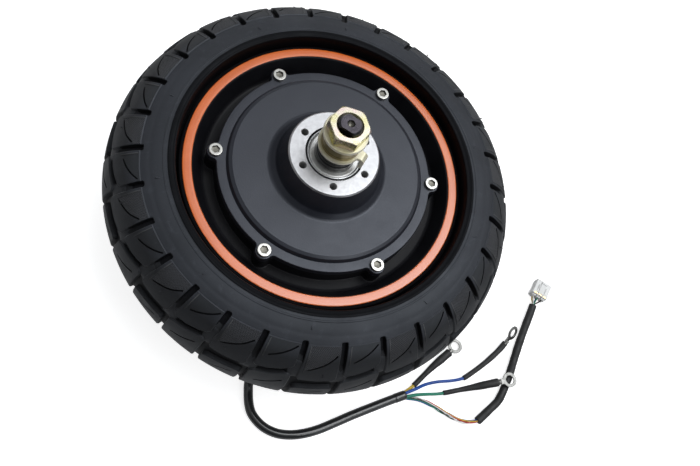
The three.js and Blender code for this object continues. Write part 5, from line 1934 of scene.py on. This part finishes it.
def sky():
    """Dim near the horizon, brighter overhead, with one broad soft box near the axis and a
    dark panel on the camera's side, low over the floor."""
    world = bpy.data.worlds.new("studio")
    bpy.context.scene.world = world
    world.use_nodes = True
    tree = world.node_tree
    look = add_node(tree, "TexCoord").outputs["Generated"]

    def toward(way):
        node = add_node(tree, "VectorMath", {0: look, 1: way}, operation="DOT_PRODUCT")
        return node.outputs["Value"]
    height = add_node(tree, "SeparateXYZ", {0: look}).outputs[2]
    dome = map_range(tree, height, span=(0.05, 1.0), to=(0.12, 0.56))
    soft_box = map_range(tree, toward(direction(azimuth=12, tilt=23)),
                         span=(cosd(27), cosd(4)), to=(0.0, 4.6),
                         interpolation_type="SMOOTHSTEP")
    dark_panel = map_range(tree, toward((cosd(256), sind(256), 0)), span=(0.12, 0.8),
                           to=(1.0, 0.08), interpolation_type="SMOOTHSTEP")
    low = add_node(tree, "Math", {0: dome, 1: dark_panel}, operation="MULTIPLY")
    total = add_node(tree, "Math", {0: low.outputs[0], 1: soft_box}, operation="ADD")
    lit = tree.nodes["Background"]
    put(tree, lit.inputs[0], (0.955, 0.98, 1.0, 1))
    put(tree, lit.inputs[1], total.outputs[0])
    # seen directly, the backdrop is as pale as the floor
    pale = add_node(tree, "Background", {0: (1, 1, 1, 1), 1: 1.0})
    seen = add_node(tree, "LightPath").outputs["Is Camera Ray"]
    pick = add_node(tree, "MixShader", {0: seen, 1: lit.outputs[0], 2: pale.outputs[0]})
    put(tree, tree.nodes["World Output"].inputs["Surface"], pick.outputs[0])


def camera():
    data = bpy.data.cameras.new("camera")
    data.lens, data.sensor_width = 39.63, 36.0
    data.clip_start, data.clip_end = 0.01, 20.0
    obj = bpy.data.objects.new("camera", data)
    # columns: the camera's right, up and backward directions, then its place
    obj.matrix_world = Matrix((
        (0.95648, 0.02922, -0.29029, -0.12734),
        (-0.12598, 0.93879, -0.32062, -0.19494),
        (0.26316, 0.34324, 0.90163, 0.53414),
        (0, 0, 0, 1)))
    bpy.context.scene.collection.objects.link(obj)
    bpy.context.scene.camera = obj
    bpy.context.scene.view_settings.view_transform = "Standard"


# ---------------------------------------------------------------- build
tyre()
rim()
for build in (stripe, cover):
    for side_name, side_sign in SIDES:
        build(side_name, side_sign)
for build in (screws, bearings, axle, hardware, valve, cable, leads,
              hall_wires, hall_sleeve, plug_shell, plug_wires,
              flux_ring, magnets, stator_support, stator_core, windings, hall_board, floor):
    build()
for lamp_row in LAMPS:
    lamp(*lamp_row)
sky()
camera()
